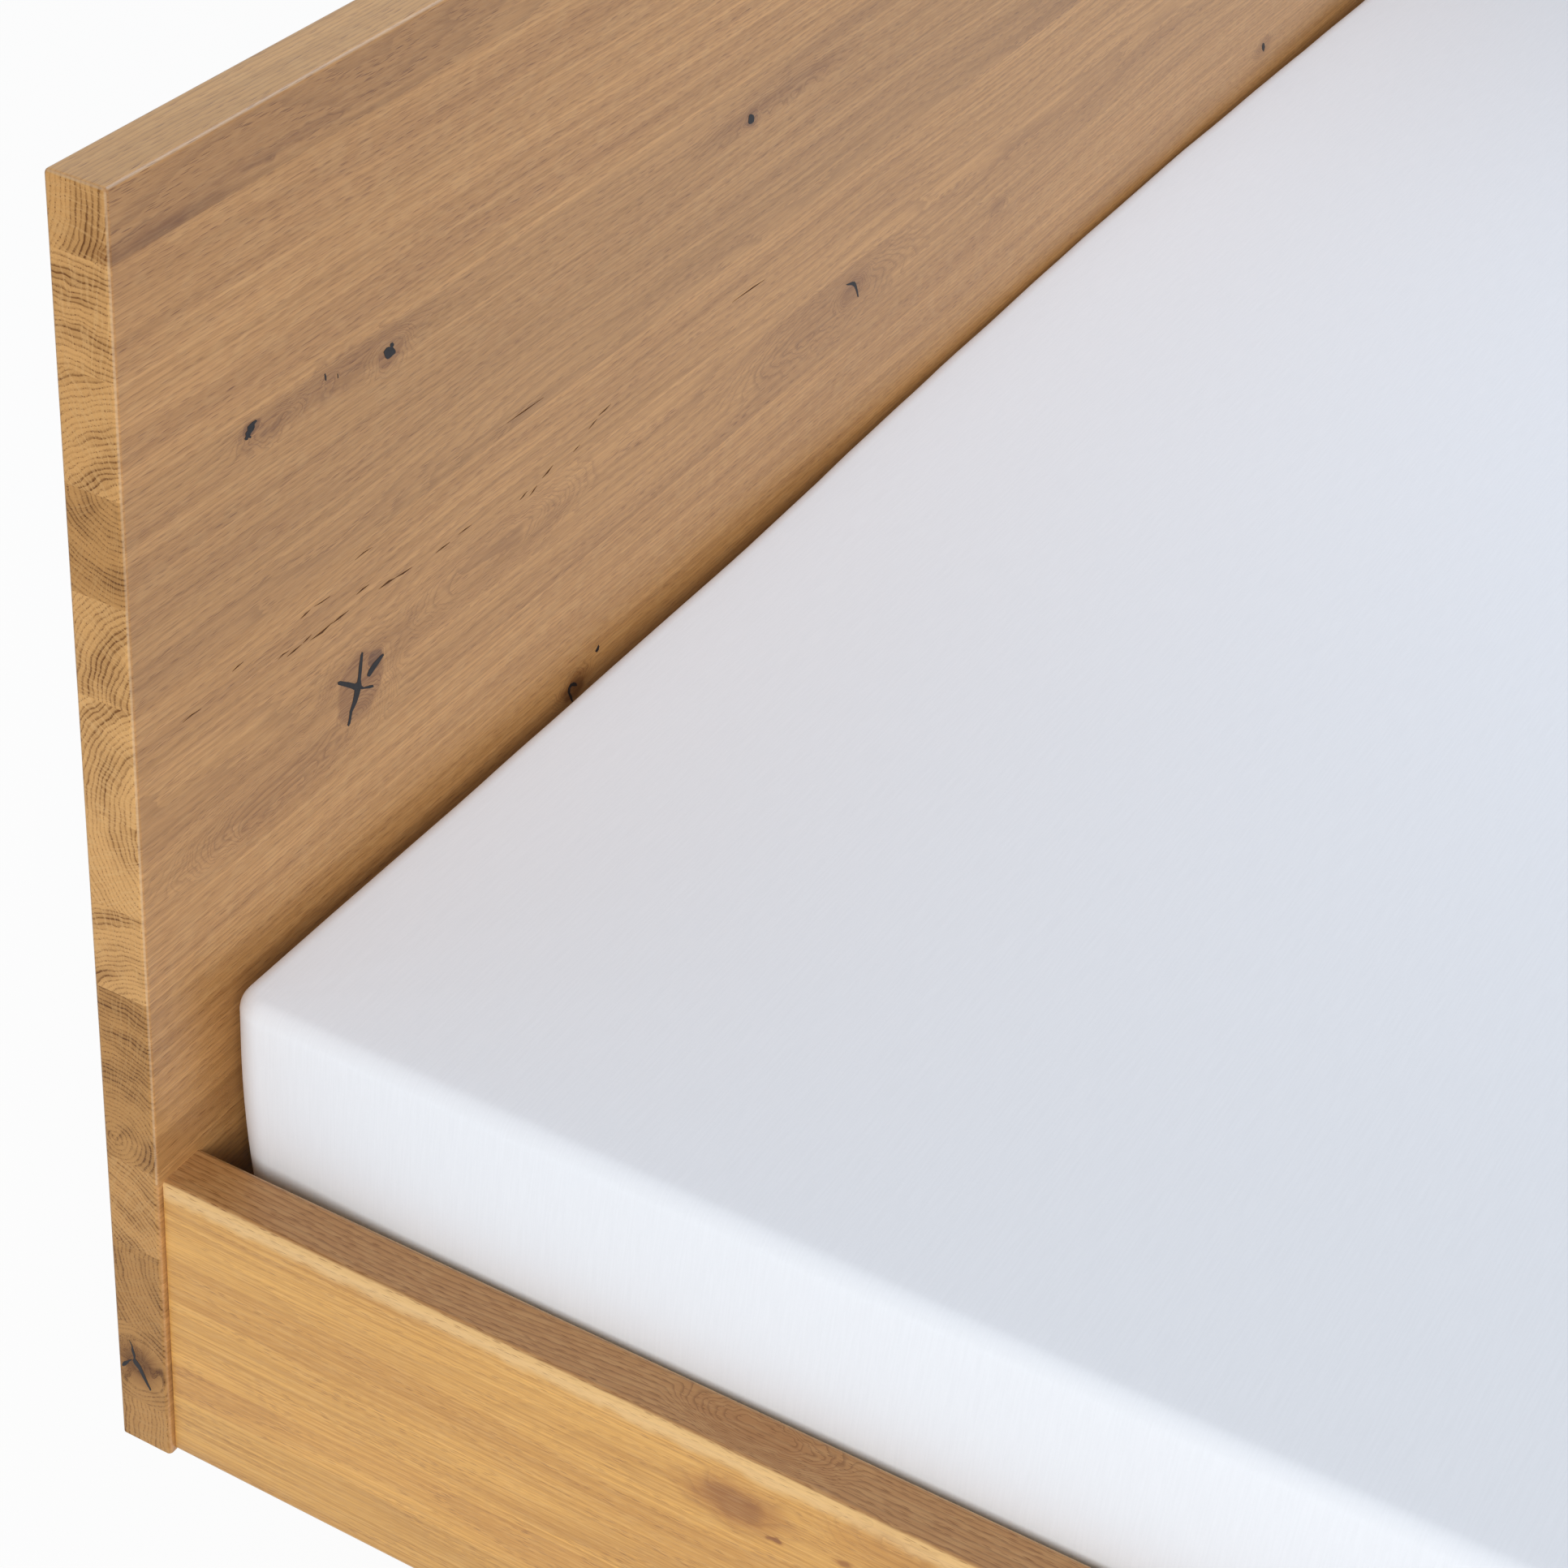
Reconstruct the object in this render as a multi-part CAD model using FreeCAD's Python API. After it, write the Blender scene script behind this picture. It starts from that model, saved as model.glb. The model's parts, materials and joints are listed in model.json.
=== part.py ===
# A double bed in solid oak: an edge-glued headboard that runs down to the underside of the rails,
# side rails and a foot rail of the same stock, an under-frame on recessed legs, two slatted bases
# and a mattress in a fitted sheet. Millimetres, +Z up, +Y towards the headboard.
# The origin is on the floor, in the middle of the whole bed.
import FreeCAD
import Part
import math
import os

Vector = FreeCAD.Vector
Rotation = FreeCAD.Rotation
Placement = FreeCAD.Placement
ORIGIN = Vector(0, 0, 0)
UP = Vector(0, 0, 1)
ALONG_X = Vector(1, 0, 0)
ALONG_Y = Vector(0, 1, 0)
HALF_TURN = 180
SIDES = (("left", -1), ("right", 1))
ENDS = (("head", 1), ("foot", -1))

# Clearances
seat_gap = 0.3            # between a piece that lifts off and what it rests on
fit_gap = 0.2             # round a plate or bolt let into wood
joint_gap = 0.3           # round a halved joint and at the ends of the under-frame
overrun = 5.0             # how far a cut runs past the face that it starts from

# Oak boards
board_thickness = 33.0
headboard_height = 765.0
headboard_edge_radius = 2.5
board_bottom_easing = 1.2
rail_height = 200.0
rail_edge_radius = 4.0
rail_end_easing = 0.8
rail_step_up = 1.5        # the rail's underside stands this much above the headboard's
end_reveal = 4.0          # the headboard's ends stand proud of the rails by this much
floor_clearance = 180.0   # under the headboard
headboard_stave_shares = (0.042, 0.074, 0.076, 0.078, 0.148, 0.072,
                          0.159, 0.075, 0.073, 0.081, 0.073, 0.049)
rail_stave_shares = (0.22, 0.19, 0.33, 0.26)

# Mattress and fitted sheet
mattress_width = 1800.0
mattress_length = 2000.0
mattress_height = 200.0
mattress_corner_radius = 24.0
mattress_top_rounding = 16.0
mattress_bottom_rounding = 12.0
mattress_side_swell = 2.5
mattress_crown = 6.0
crown_shares = (0.01, 0.3, 0.7)
bottom_rounding_steps = 2
top_rounding_steps = 3
mattress_side_gap = 10.0
mattress_head_gap = 9.0
mattress_foot_gap = 17.0
sheet_thickness = 1.2
sheet_hem = 110.0         # how far the sheet is tucked under the mattress

# Slatted bases
base_side_clearance = 5.0
base_middle_gap = 6.0
base_end_clearance = 12.0
base_rail_thickness = 25.0
base_rail_height = 38.0
base_edge_easing = 1.5
slat_count = 14
slat_width = 53.0
slat_thickness = 8.0
slat_rise = 12.0
slat_end_margin = 30.0    # from the base's end to its first slat cap
cap_wall = 3.0
cap_length = 32.0
cap_pocket_depth = 26.0
cap_play = 1.9            # room over a slat's end, for its slant
cap_lip_height = 9.0
cap_lip_thickness = 3.0
slat_side_play = 0.4

# Ledges, centre beam and cross bearers
ledge_rise = 14.0         # the ledge's underside above the rail's
ledge_width = 30.0
ledge_height = 20.0
beam_width = 40.0
beam_height = 60.0
beam_end_lift = 6.0       # the beam's end stands this much above the rail's underside
beam_end_length = 70.0
bearer_width = 90.0
bearer_height = 40.0
halving_share = 0.5
leg_inset = 250.0         # legs stand back from the bed's outer faces by this much

# Beam shoes
shoe_steel = 3.0
shoe_cradle_length = 42.0
shoe_cheek_height = 26.0
shoe_ear_width = 22.0

# Legs
leg_size = 80.0
leg_edge_radius = 5.0
leg_plate_size = bearer_width
leg_plate_thickness = 3.0
felt_size = 56.0
felt_thickness = 3.0

# Centre legs and their screw feet
tube_radius = 16.0
tube_wall = 2.0
tube_flange_size = 64.0
tube_flange_thickness = 3.0
tube_end_height = 46.0    # the tube's lower end above the floor
insert_length = 15.0
spindle_radius = 6.0
spindle_play = 0.08
foot_travel = 20.0        # how far each foot screws up and down
spindle_head_room = 20.0  # left over the spindle with its foot screwed right in
foot_disc_radius = 25.0
foot_disc_thickness = 6.0
foot_nut_flats = 19.0
foot_nut_height = 9.0
foot_pad_thickness = 2.5

# Hook-in bed fittings at the four corners
fitting_height = 150.0
fitting_width = 20.0
fitting_steel = 3.0
hook_thickness = 3.0
hook_reach = 11.0
hook_neck = 14.0
hook_drop = 8.0
hook_spacing = 70.0
hook_nose_radius = 4.0
slot_play = 0.5
pocket_room = 1.5

# Places that follow from the sizes above
inner_width = mattress_width + 2 * mattress_side_gap
inner_length = mattress_length + mattress_head_gap + mattress_foot_gap
inner_half = inner_width / 2
frame_half = inner_half + board_thickness
board_length = 2 * (frame_half + end_reveal)
total_length = inner_length + 2 * board_thickness
head_face = total_length / 2 - board_thickness
rail_bottom = floor_clearance + rail_step_up
rail_top = rail_bottom + rail_height
ledge_bottom = rail_bottom + ledge_rise
ledge_top = ledge_bottom + ledge_height
bearer_top = ledge_bottom
bearer_bottom = bearer_top - bearer_height
bearer_y = total_length / 2 - leg_inset - leg_size / 2
leg_x = frame_half - leg_inset - leg_size / 2
base_bottom = ledge_top + seat_gap
base_rail_top = base_bottom + base_rail_height
slat_end_bottom = base_rail_top + cap_wall + seat_gap
slat_crown_top = slat_end_bottom + slat_thickness + slat_rise
sheet_bottom = slat_crown_top + seat_gap
mattress_bottom = sheet_bottom + sheet_thickness + seat_gap
mattress_y = (mattress_foot_gap - mattress_head_gap) / 2
rail_centre_x = inner_half + board_thickness / 2
fitting_z = rail_bottom + rail_height / 2


def block(low, high):
    """A box between two corners."""
    size = high.sub(low)
    return Part.makeBox(size.x, size.y, size.z, low)


def centred_block(width, depth, low_z, high_z, centre=ORIGIN):
    """A box round an upright axis, between two heights."""
    low = Vector(centre.x - width / 2, centre.y - depth / 2, low_z)
    high = Vector(centre.x + width / 2, centre.y + depth / 2, high_z)
    return block(low, high)


def disc(radius, low_z, high_z, centre=ORIGIN):
    """An upright cylinder between two heights."""
    return Part.makeCylinder(radius, high_z - low_z, Vector(centre.x, centre.y, low_z))


def placed(shape, offset, axis=UP, turn=0):
    """A copy of a shape, turned about the origin and then moved."""
    copy = shape.copy()
    copy.Placement = Placement(offset, Rotation(axis, turn)).multiply(copy.Placement)
    return copy


def edges_along(shape, direction):
    """The straight edges of a shape that run in a direction."""
    found = []
    for edge in shape.Edges:
        if len(edge.Vertexes) == 2:
            run = edge.Vertexes[1].Point.sub(edge.Vertexes[0].Point)
            if run.cross(direction).Length < edge.Length / 1000:
                found.append(edge)
    return found


def edges_at(edges, axis, value):
    """Those of some edges whose middle lies at a coordinate along an axis."""
    return [edge for edge in edges if abs(edge.CenterOfMass.dot(axis) - value) < fit_gap]


def cut_all(shape, tools):
    """A solid with several tools cut out of it."""
    return shape.cut(Part.makeCompound(tools)).Solids[0]


def save(name, shapes):
    """Writes one node, from one solid or several that stand apart."""
    solids = [solid for shape in shapes for solid in shape.Solids]
    node = solids[0] if len(solids) == 1 else Part.makeCompound(solids)
    node.exportStep(os.path.join("parts", name + ".step"))


def stave_levels(height, shares):
    """The heights of the glue lines of a board, its two edges included."""
    levels = [0]
    for share in shares:
        levels.append(levels[-1] + share * height / sum(shares))
    return levels


def proud_board(height, shares, radius):
    """The staves of a board that shows its ends, lying along X.

    Its top and upright edges are rounded and the edges of its underside are eased.
    """
    staves = []
    levels = stave_levels(height, shares)
    for low, high in zip(levels[:-1], levels[1:]):
        stave = block(Vector(-board_length / 2, 0, low), Vector(board_length / 2, board_thickness, high))
        edges = edges_along(stave, UP)
        if high == levels[-1]:
            edges += edges_at(stave.Edges, UP, high)
        stave = stave.makeFillet(radius, edges)
        if low == levels[0]:
            stave = stave.makeChamfer(board_bottom_easing, edges_at(stave.Edges, UP, low))
        staves.append(stave)
    return staves


def butted_board():
    """The staves of a side rail: long edges rounded, ends only eased. It lies along Y."""
    staves = []
    levels = stave_levels(rail_height, rail_stave_shares)
    for low, high in zip(levels[:-1], levels[1:]):
        stave = block(Vector(0, -inner_length / 2, low), Vector(board_thickness, inner_length / 2, high))
        stave = stave.makeChamfer(rail_end_easing, edges_along(stave, UP))
        long_edges = []
        if low == levels[0]:
            long_edges += edges_at(edges_along(stave, ALONG_Y), UP, low)
        if high == levels[-1]:
            long_edges += edges_at(edges_along(stave, ALONG_Y), UP, high)
        if long_edges:
            stave = stave.makeFillet(rail_edge_radius, long_edges)
        staves.append(stave)
    return staves


def plate_blank(low_y, high_y, grow=0):
    """A fitting plate's outline between two depths, or the bed for it if it grows."""
    half_width = fitting_width / 2 + grow
    half_height = fitting_height / 2 + grow
    return block(Vector(-half_width, low_y, -half_height), Vector(half_width, high_y, half_height))


def hook_levels():
    """The heights of the two hooks' throats, from the fitting's middle."""
    return (-hook_spacing / 2, hook_spacing / 2)


def hook(level):
    """One hook: a neck through the slot and a nose that drops behind the plate."""
    throat = fitting_steel + seat_gap
    corner = hook_reach - hook_nose_radius
    middle = hook_nose_radius * math.sqrt(0.5)
    top = level + hook_neck
    start = Vector(0, 0, level)
    neck_top = Vector(0, 0, top)
    bend_start = Vector(0, corner, top)
    bend_middle = Vector(0, corner + middle, top - hook_nose_radius + middle)
    bend_end = Vector(0, hook_reach, top - hook_nose_radius)
    nose_end = Vector(0, hook_reach, level - hook_drop)
    nose_back = Vector(0, throat, level - hook_drop)
    throat_end = Vector(0, throat, level)
    edges = [Part.LineSegment(start, neck_top).toShape()]
    edges.append(Part.LineSegment(neck_top, bend_start).toShape())
    edges.append(Part.Arc(bend_start, bend_middle, bend_end).toShape())
    edges.append(Part.LineSegment(bend_end, nose_end).toShape())
    edges.append(Part.LineSegment(nose_end, nose_back).toShape())
    edges.append(Part.LineSegment(nose_back, throat_end).toShape())
    edges.append(Part.LineSegment(throat_end, start).toShape())
    face = Part.Face(Part.Wire(edges))
    return placed(face.extrude(Vector(hook_thickness, 0, 0)), Vector(-hook_thickness / 2, 0, 0))


def slot_plate():
    """The plate let into a board's face, with a slot for each hook."""
    plate = plate_blank(0, fitting_steel)
    half = hook_thickness / 2 + slot_play
    tools = []
    for level in hook_levels():
        low = Vector(-half, -overrun, level)
        high = Vector(half, fitting_steel + overrun, level + hook_neck + hook_drop + slot_play)
        tools.append(block(low, high))
    return cut_all(plate, tools)


def hook_plate():
    """The plate let into a rail's end, with its two hooks."""
    plate = plate_blank(-fitting_steel, 0)
    for level in hook_levels():
        plate = plate.fuse(hook(level))
    return plate.removeSplitter().Solids[0]


def board_recess():
    """What is cut from a board for a slot plate: its bed and the hooks' pocket."""
    tools = [plate_blank(-overrun, fitting_steel, fit_gap)]
    half = hook_thickness / 2 + pocket_room
    low = Vector(-half, 0, -hook_spacing / 2 - hook_drop - pocket_room)
    top = hook_spacing / 2 + hook_neck + hook_drop + pocket_room
    tools.append(block(low, Vector(half, hook_reach + pocket_room, top)))
    return tools


def rail_recess():
    """What is cut from a rail's end for a hook plate."""
    return [plate_blank(-fitting_steel, overrun, fit_gap)]


def corners():
    """The place and turn of each corner fitting: its X, its joint face and the turn about Z."""
    found = []
    for _, side in SIDES:
        found.append((Vector(side * rail_centre_x, head_face, fitting_z), 0, side, 1))
        found.append((Vector(side * rail_centre_x, -head_face, fitting_z), HALF_TURN, side, -1))
    return found


def at_corner(shapes, place, turn):
    """Copies of a fitting's shapes at one corner."""
    return [placed(shape, place, UP, turn) for shape in shapes]


def build_boards():
    """The headboard, the foot rail and the side rails, cut for their fittings."""
    head_tools = []
    foot_tools = []
    rail_tools = {-1: [], 1: []}
    for place, turn, side, end in corners():
        board_tools = head_tools if end == 1 else foot_tools
        board_tools += at_corner(board_recess(), place, turn)
        rail_tools[side] += at_corner(rail_recess(), place, turn)

    staves = proud_board(headboard_height, headboard_stave_shares, headboard_edge_radius)
    for index, stave in enumerate(staves):
        stave = placed(stave, Vector(0, head_face, floor_clearance))
        save(f"headboard_stave_{index + 1:02d}", [cut_all(stave, head_tools)])

    staves = proud_board(rail_height, rail_stave_shares, rail_edge_radius)
    staves = [placed(stave, Vector(0, -head_face, rail_bottom), UP, HALF_TURN) for stave in staves]
    save("foot_rail", [cut_all(stave, foot_tools) for stave in staves])

    for name, side in SIDES:
        left_face = inner_half if side == 1 else -frame_half
        staves = [placed(stave, Vector(left_face, 0, rail_bottom)) for stave in butted_board()]
        save(f"side_rail_{name}", [cut_all(stave, rail_tools[side]) for stave in staves])


def build_fittings():
    """The hook-in fittings at the four corners."""
    plates = []
    hooks = []
    for place, turn, _, _ in corners():
        plates += at_corner([slot_plate()], place, turn)
        hooks += at_corner([hook_plate()], place, turn)
    save("corner_slot_plates", plates)
    save("corner_hook_plates", hooks)


def leg_places():
    """The name and the foot of each block leg."""
    places = []
    for end_name, end in ENDS:
        for side_name, side in SIDES:
            places.append((f"{end_name}_{side_name}", Vector(side * leg_x, end * bearer_y, 0)))
    return places


def centre_beam():
    """The lengthwise beam: raised at its ends, and halved over the two cross bearers."""
    half = inner_length / 2 - joint_gap - shoe_steel
    low = ledge_top - beam_height
    beam = block(Vector(-beam_width / 2, -half, low), Vector(beam_width / 2, half, ledge_top))
    end_bottom = rail_bottom + beam_end_lift
    bearer_notch = bearer_bottom + halving_share * bearer_height
    tools = []
    for _, end in ENDS:
        inner = half - beam_end_length
        y_low, y_high = sorted((end * inner, end * (half + overrun)))
        corner = Vector(-beam_width, y_low, low - overrun)
        tools.append(block(corner, Vector(beam_width, y_high, end_bottom)))
        reach = bearer_width / 2 + joint_gap
        corner = Vector(-beam_width, end * bearer_y - reach, low - overrun)
        tools.append(block(corner, Vector(beam_width, end * bearer_y + reach, bearer_notch)))
    return cut_all(beam, tools)


def cross_bearer(end):
    """A bearer across the bed, under the ledges, halved for the centre beam."""
    half = inner_half - joint_gap
    y = end * bearer_y
    low = Vector(-half, y - bearer_width / 2, bearer_bottom)
    bearer = block(low, Vector(half, y + bearer_width / 2, bearer_top))
    notch_bottom = bearer_bottom + halving_share * bearer_height - joint_gap
    notch_half = beam_width / 2 + joint_gap
    low = Vector(-notch_half, y - bearer_width, notch_bottom)
    notch = block(low, Vector(notch_half, y + bearer_width, bearer_top + overrun))
    return cut_all(bearer, [notch])


def beam_shoe():
    """The steel shoe at the head end: a cradle under the beam and two ears on the headboard."""
    cradle_half = beam_width / 2 + joint_gap
    outer_half = cradle_half + shoe_steel
    bottom = rail_bottom + beam_end_lift - joint_gap - shoe_steel
    top = bottom + shoe_steel + shoe_cheek_height
    front = head_face - shoe_steel - shoe_cradle_length
    ear_half = outer_half + shoe_ear_width
    cradle = block(Vector(-outer_half, front, bottom), Vector(outer_half, head_face, top))
    room = block(
        Vector(-cradle_half, front - overrun, bottom + shoe_steel),
        Vector(cradle_half, head_face - shoe_steel, top + overrun),
    )
    back = block(Vector(-ear_half, head_face - shoe_steel, bottom), Vector(ear_half, head_face, top))
    return cradle.cut(room).fuse(back).removeSplitter().Solids[0]


def build_under_frame():
    """Ledges, centre beam, cross bearers and beam shoes."""
    for name, side in SIDES:
        x_low, x_high = sorted((side * inner_half, side * (inner_half - ledge_width)))
        half = inner_length / 2 - joint_gap
        ledge = block(Vector(x_low, -half, ledge_bottom), Vector(x_high, half, ledge_top))
        inner_edges = edges_at(edges_along(ledge, ALONG_Y), ALONG_X, side * (inner_half - ledge_width))
        save(f"ledge_{name}", [ledge.makeChamfer(base_edge_easing, inner_edges)])
    save("centre_beam", [centre_beam()])
    for name, end in ENDS:
        save(f"cross_bearer_{name}", [cross_bearer(end)])
    save("beam_shoe_head", [beam_shoe()])
    save("beam_shoe_foot", [placed(beam_shoe(), ORIGIN, UP, HALF_TURN)])


def build_legs():
    """The four block legs with their plates and felt pads."""
    plates = []
    felts = []
    plate_bottom = bearer_bottom - leg_plate_thickness
    for name, place in leg_places():
        leg = centred_block(leg_size, leg_size, felt_thickness, plate_bottom, place)
        save(f"leg_{name}", [leg.makeFillet(leg_edge_radius, edges_along(leg, UP))])
        plate = centred_block(leg_plate_size, leg_plate_size, plate_bottom, bearer_bottom, place)
        plates.append(plate.makeChamfer(leg_edge_radius, edges_along(plate, UP)))
        felts.append(centred_block(felt_size, felt_size, 0, felt_thickness, place))
    save("leg_plates", plates)
    save("leg_felt_pads", felts)


def hexagon(flats, low_z, high_z, centre):
    """An upright hexagonal bar, given across its flats."""
    corner = flats / math.sqrt(3)
    points = []
    for index in range(7):
        angle = index * math.pi / 3
        x = centre.x + corner * math.cos(angle)
        points.append(Vector(x, centre.y + corner * math.sin(angle), low_z))
    return Part.Face(Part.makePolygon(points)).extrude(Vector(0, 0, high_z - low_z))


def build_centre_legs():
    """The tube legs under the centre beam, with screw feet that turn in a threaded insert."""
    for name, end in ENDS:
        place = Vector(0, end * bearer_y, 0)
        flange_bottom = bearer_bottom - tube_flange_thickness
        flange = centred_block(tube_flange_size, tube_flange_size, flange_bottom, bearer_bottom, place)
        flange = flange.makeChamfer(leg_edge_radius, edges_along(flange, UP))
        tube = disc(tube_radius, tube_end_height, flange_bottom, place)
        insert_top = tube_end_height + insert_length
        hollow = disc(tube_radius - tube_wall, insert_top, flange_bottom, place)
        bore = disc(spindle_radius + spindle_play, tube_end_height - overrun, insert_top + overrun, place)
        leg = tube.fuse(flange).cut(hollow).cut(bore).removeSplitter()
        save(f"centre_leg_{name}", [leg.Solids[0]])
        nut_bottom = foot_pad_thickness + foot_disc_thickness
        nut_top = nut_bottom + foot_nut_height
        plate = disc(foot_disc_radius, foot_pad_thickness, nut_bottom, place)
        nut = hexagon(foot_nut_flats, nut_bottom, nut_top, place)
        spindle_top = flange_bottom - spindle_head_room - foot_travel
        spindle = disc(spindle_radius, nut_bottom, spindle_top, place)
        save(f"screw_foot_{name}", [plate.fuse(nut).fuse(spindle).removeSplitter().Solids[0]])
        save(f"foot_pad_{name}", [disc(foot_disc_radius, 0, foot_pad_thickness, place)])


def slat(x_low, x_high, y):
    """One bowed slat, its ends level and its middle raised."""
    middle = (x_low + x_high) / 2
    low_y = y - slat_width / 2
    bottom = slat_end_bottom
    top = bottom + slat_thickness
    low_start = Vector(x_low, low_y, bottom)
    low_middle = Vector(middle, low_y, bottom + slat_rise)
    low_end = Vector(x_high, low_y, bottom)
    top_start = Vector(x_low, low_y, top)
    top_middle = Vector(middle, low_y, top + slat_rise)
    top_end = Vector(x_high, low_y, top)
    edges = [Part.Arc(low_start, low_middle, low_end).toShape()]
    edges.append(Part.LineSegment(low_end, top_end).toShape())
    edges.append(Part.Arc(top_end, top_middle, top_start).toShape())
    edges.append(Part.LineSegment(top_start, low_start).toShape())
    return Part.Face(Part.Wire(edges)).extrude(Vector(0, slat_width, 0))


def slat_cap(edge_x, inward, y):
    """The cap on a slat's end: a pocket on the base's rail, with a lip down the rail's inner face."""
    width = slat_width + 2 * (slat_side_play + cap_wall)
    top = slat_end_bottom + slat_thickness + cap_play + cap_wall
    inner_x = edge_x + inward * cap_length
    x_low, x_high = sorted((edge_x, inner_x))
    body = block(Vector(x_low, y - width / 2, base_rail_top), Vector(x_high, y + width / 2, top))
    lip_start = edge_x + inward * (base_rail_thickness + seat_gap)
    lip_end = lip_start + inward * cap_lip_thickness
    x_low, x_high = sorted((lip_start, lip_end))
    lip_low = Vector(x_low, y - width / 2, base_rail_top - cap_lip_height)
    lip = block(lip_low, Vector(x_high, y + width / 2, base_rail_top + cap_wall))
    pocket_start = inner_x - inward * cap_pocket_depth
    x_low, x_high = sorted((pocket_start, inner_x + inward * overrun))
    half = slat_width / 2 + slat_side_play
    pocket_low = Vector(x_low, y - half, base_rail_top + cap_wall)
    pocket = block(pocket_low, Vector(x_high, y + half, top - cap_wall))
    return body.fuse(lip).cut(pocket).removeSplitter().Solids[0]


def slat_centres(length):
    """The middle of each slat along the base, evenly spaced."""
    half_cap = slat_width / 2 + slat_side_play + cap_wall
    first = -length / 2 + slat_end_margin + half_cap
    step = -2 * first / (slat_count - 1)
    return [first + step * index for index in range(slat_count)]


def build_base(name, side):
    """One slatted base: side rails, end pieces, bowed slats and their caps."""
    outer_x = inner_half - base_side_clearance
    inner_x = base_middle_gap / 2
    length = inner_length - 2 * base_end_clearance
    edges = (("outer", side * outer_x, -side), ("inner", side * inner_x, side))
    for rail_name, edge_x, inward in edges:
        x_low, x_high = sorted((edge_x, edge_x + inward * base_rail_thickness))
        rail = block(Vector(x_low, -length / 2, base_bottom), Vector(x_high, length / 2, base_rail_top))
        rail = rail.makeChamfer(base_edge_easing, edges_along(rail, ALONG_Y))
        save(f"base_{rail_name}_rail_{name}", [rail])
    x_low, x_high = sorted((
        side * (outer_x - base_rail_thickness),
        side * (inner_x + base_rail_thickness),
    ))
    for end_name, end in ENDS:
        y_low, y_high = sorted((end * length / 2, end * (length / 2 - base_rail_thickness)))
        piece = block(Vector(x_low, y_low, base_bottom), Vector(x_high, y_high, base_rail_top))
        piece = piece.makeChamfer(base_edge_easing, edges_along(piece, ALONG_X))
        save(f"base_{end_name}_piece_{name}", [piece])
    end_room = cap_length - cap_pocket_depth + slat_side_play
    x_low, x_high = sorted((side * (outer_x - end_room), side * (inner_x + end_room)))
    centres = slat_centres(length)
    save(f"slats_{name}", [slat(x_low, x_high, y) for y in centres])
    save(f"slat_caps_{name}", [slat_cap(edge_x, inward, y) for _, edge_x, inward in edges for y in centres])


def rounded_outline(half_width, half_length, radius, height, centre_y):
    """A level rectangle with round corners, as one wire of four lines and four arcs."""
    edges = []
    corner_x = half_width - radius
    corner_y = half_length - radius
    signs = ((1, 1), (-1, 1), (-1, -1), (1, -1))
    for index, (sign_x, sign_y) in enumerate(signs):
        centre = Vector(sign_x * corner_x, centre_y + sign_y * corner_y, height)
        points = []
        for step in range(3):
            angle = (index + step / 2) * math.pi / 2
            points.append(centre.add(Vector(radius * math.cos(angle), radius * math.sin(angle), 0)))
        edges.append(Part.Arc(points[0], points[1], points[2]).toShape())
        next_x, next_y = signs[(index + 1) % 4]
        next_centre = Vector(next_x * corner_x, centre_y + next_y * corner_y, height)
        angle = (index + 1) * math.pi / 2
        next_start = next_centre.add(Vector(radius * math.cos(angle), radius * math.sin(angle), 0))
        edges.append(Part.LineSegment(points[2], next_start).toShape())
    return Part.Wire(edges)


def side_sections():
    """How far each level of the mattress is drawn in, from its underside to its top edge."""
    sections = []
    for step in range(bottom_rounding_steps + 1):
        angle = step * math.pi / 2 / bottom_rounding_steps
        inset = mattress_bottom_rounding * (1 - math.sin(angle))
        sections.append((mattress_bottom_rounding * (1 - math.cos(angle)), inset))
    straight = mattress_height - mattress_top_rounding - mattress_bottom_rounding
    sections.append((mattress_bottom_rounding + straight / 2, -mattress_side_swell))
    for step in range(top_rounding_steps + 1):
        angle = step * math.pi / 2 / top_rounding_steps
        inset = mattress_top_rounding * (1 - math.cos(angle))
        sections.append((mattress_height - mattress_top_rounding * (1 - math.sin(angle)), inset))
    return sections


def mattress_crown_form(grow):
    """The slight dome on the mattress, as a low pyramid of flat faces."""
    rings = []
    for share in crown_shares:
        inset = mattress_top_rounding + share * (mattress_width / 2 - mattress_top_rounding) - grow
        rise = mattress_crown * math.sin((share - crown_shares[0]) * math.pi / 2) + grow
        half_width = mattress_width / 2 - inset
        half_length = mattress_length / 2 - inset
        z = mattress_bottom + mattress_height + rise
        low = Vector(-half_width, mattress_y - half_length, z)
        high = Vector(half_width, mattress_y + half_length, z)
        rings.append([low, Vector(high.x, low.y, z), high, Vector(low.x, high.y, z), low])
    faces = [Part.Face(Part.makePolygon(rings[0])), Part.Face(Part.makePolygon(rings[-1]))]
    for lower, upper in zip(rings[:-1], rings[1:]):
        for index in range(len(lower) - 1):
            around = [lower[index], lower[index + 1], upper[index + 1], upper[index], lower[index]]
            faces.append(Part.Face(Part.makePolygon(around)))
    return Part.makeSolid(Part.makeShell(faces))


def mattress_form(grow):
    """The mattress as a closed form, or the same form grown outwards all round."""
    wires = []
    for index, (height, inset) in enumerate(side_sections()):
        if index == 0:
            height -= grow
        if height > mattress_height / 2:
            height += grow
        half_width = mattress_width / 2 - inset + grow
        half_length = mattress_length / 2 - inset + grow
        radius = mattress_corner_radius - inset + grow
        z = mattress_bottom + height
        wires.append(rounded_outline(half_width, half_length, radius, z, mattress_y))
    sides = Part.makeLoft(wires, True, True)
    return sides.fuse(mattress_crown_form(grow)).removeSplitter().Solids[0]


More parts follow.
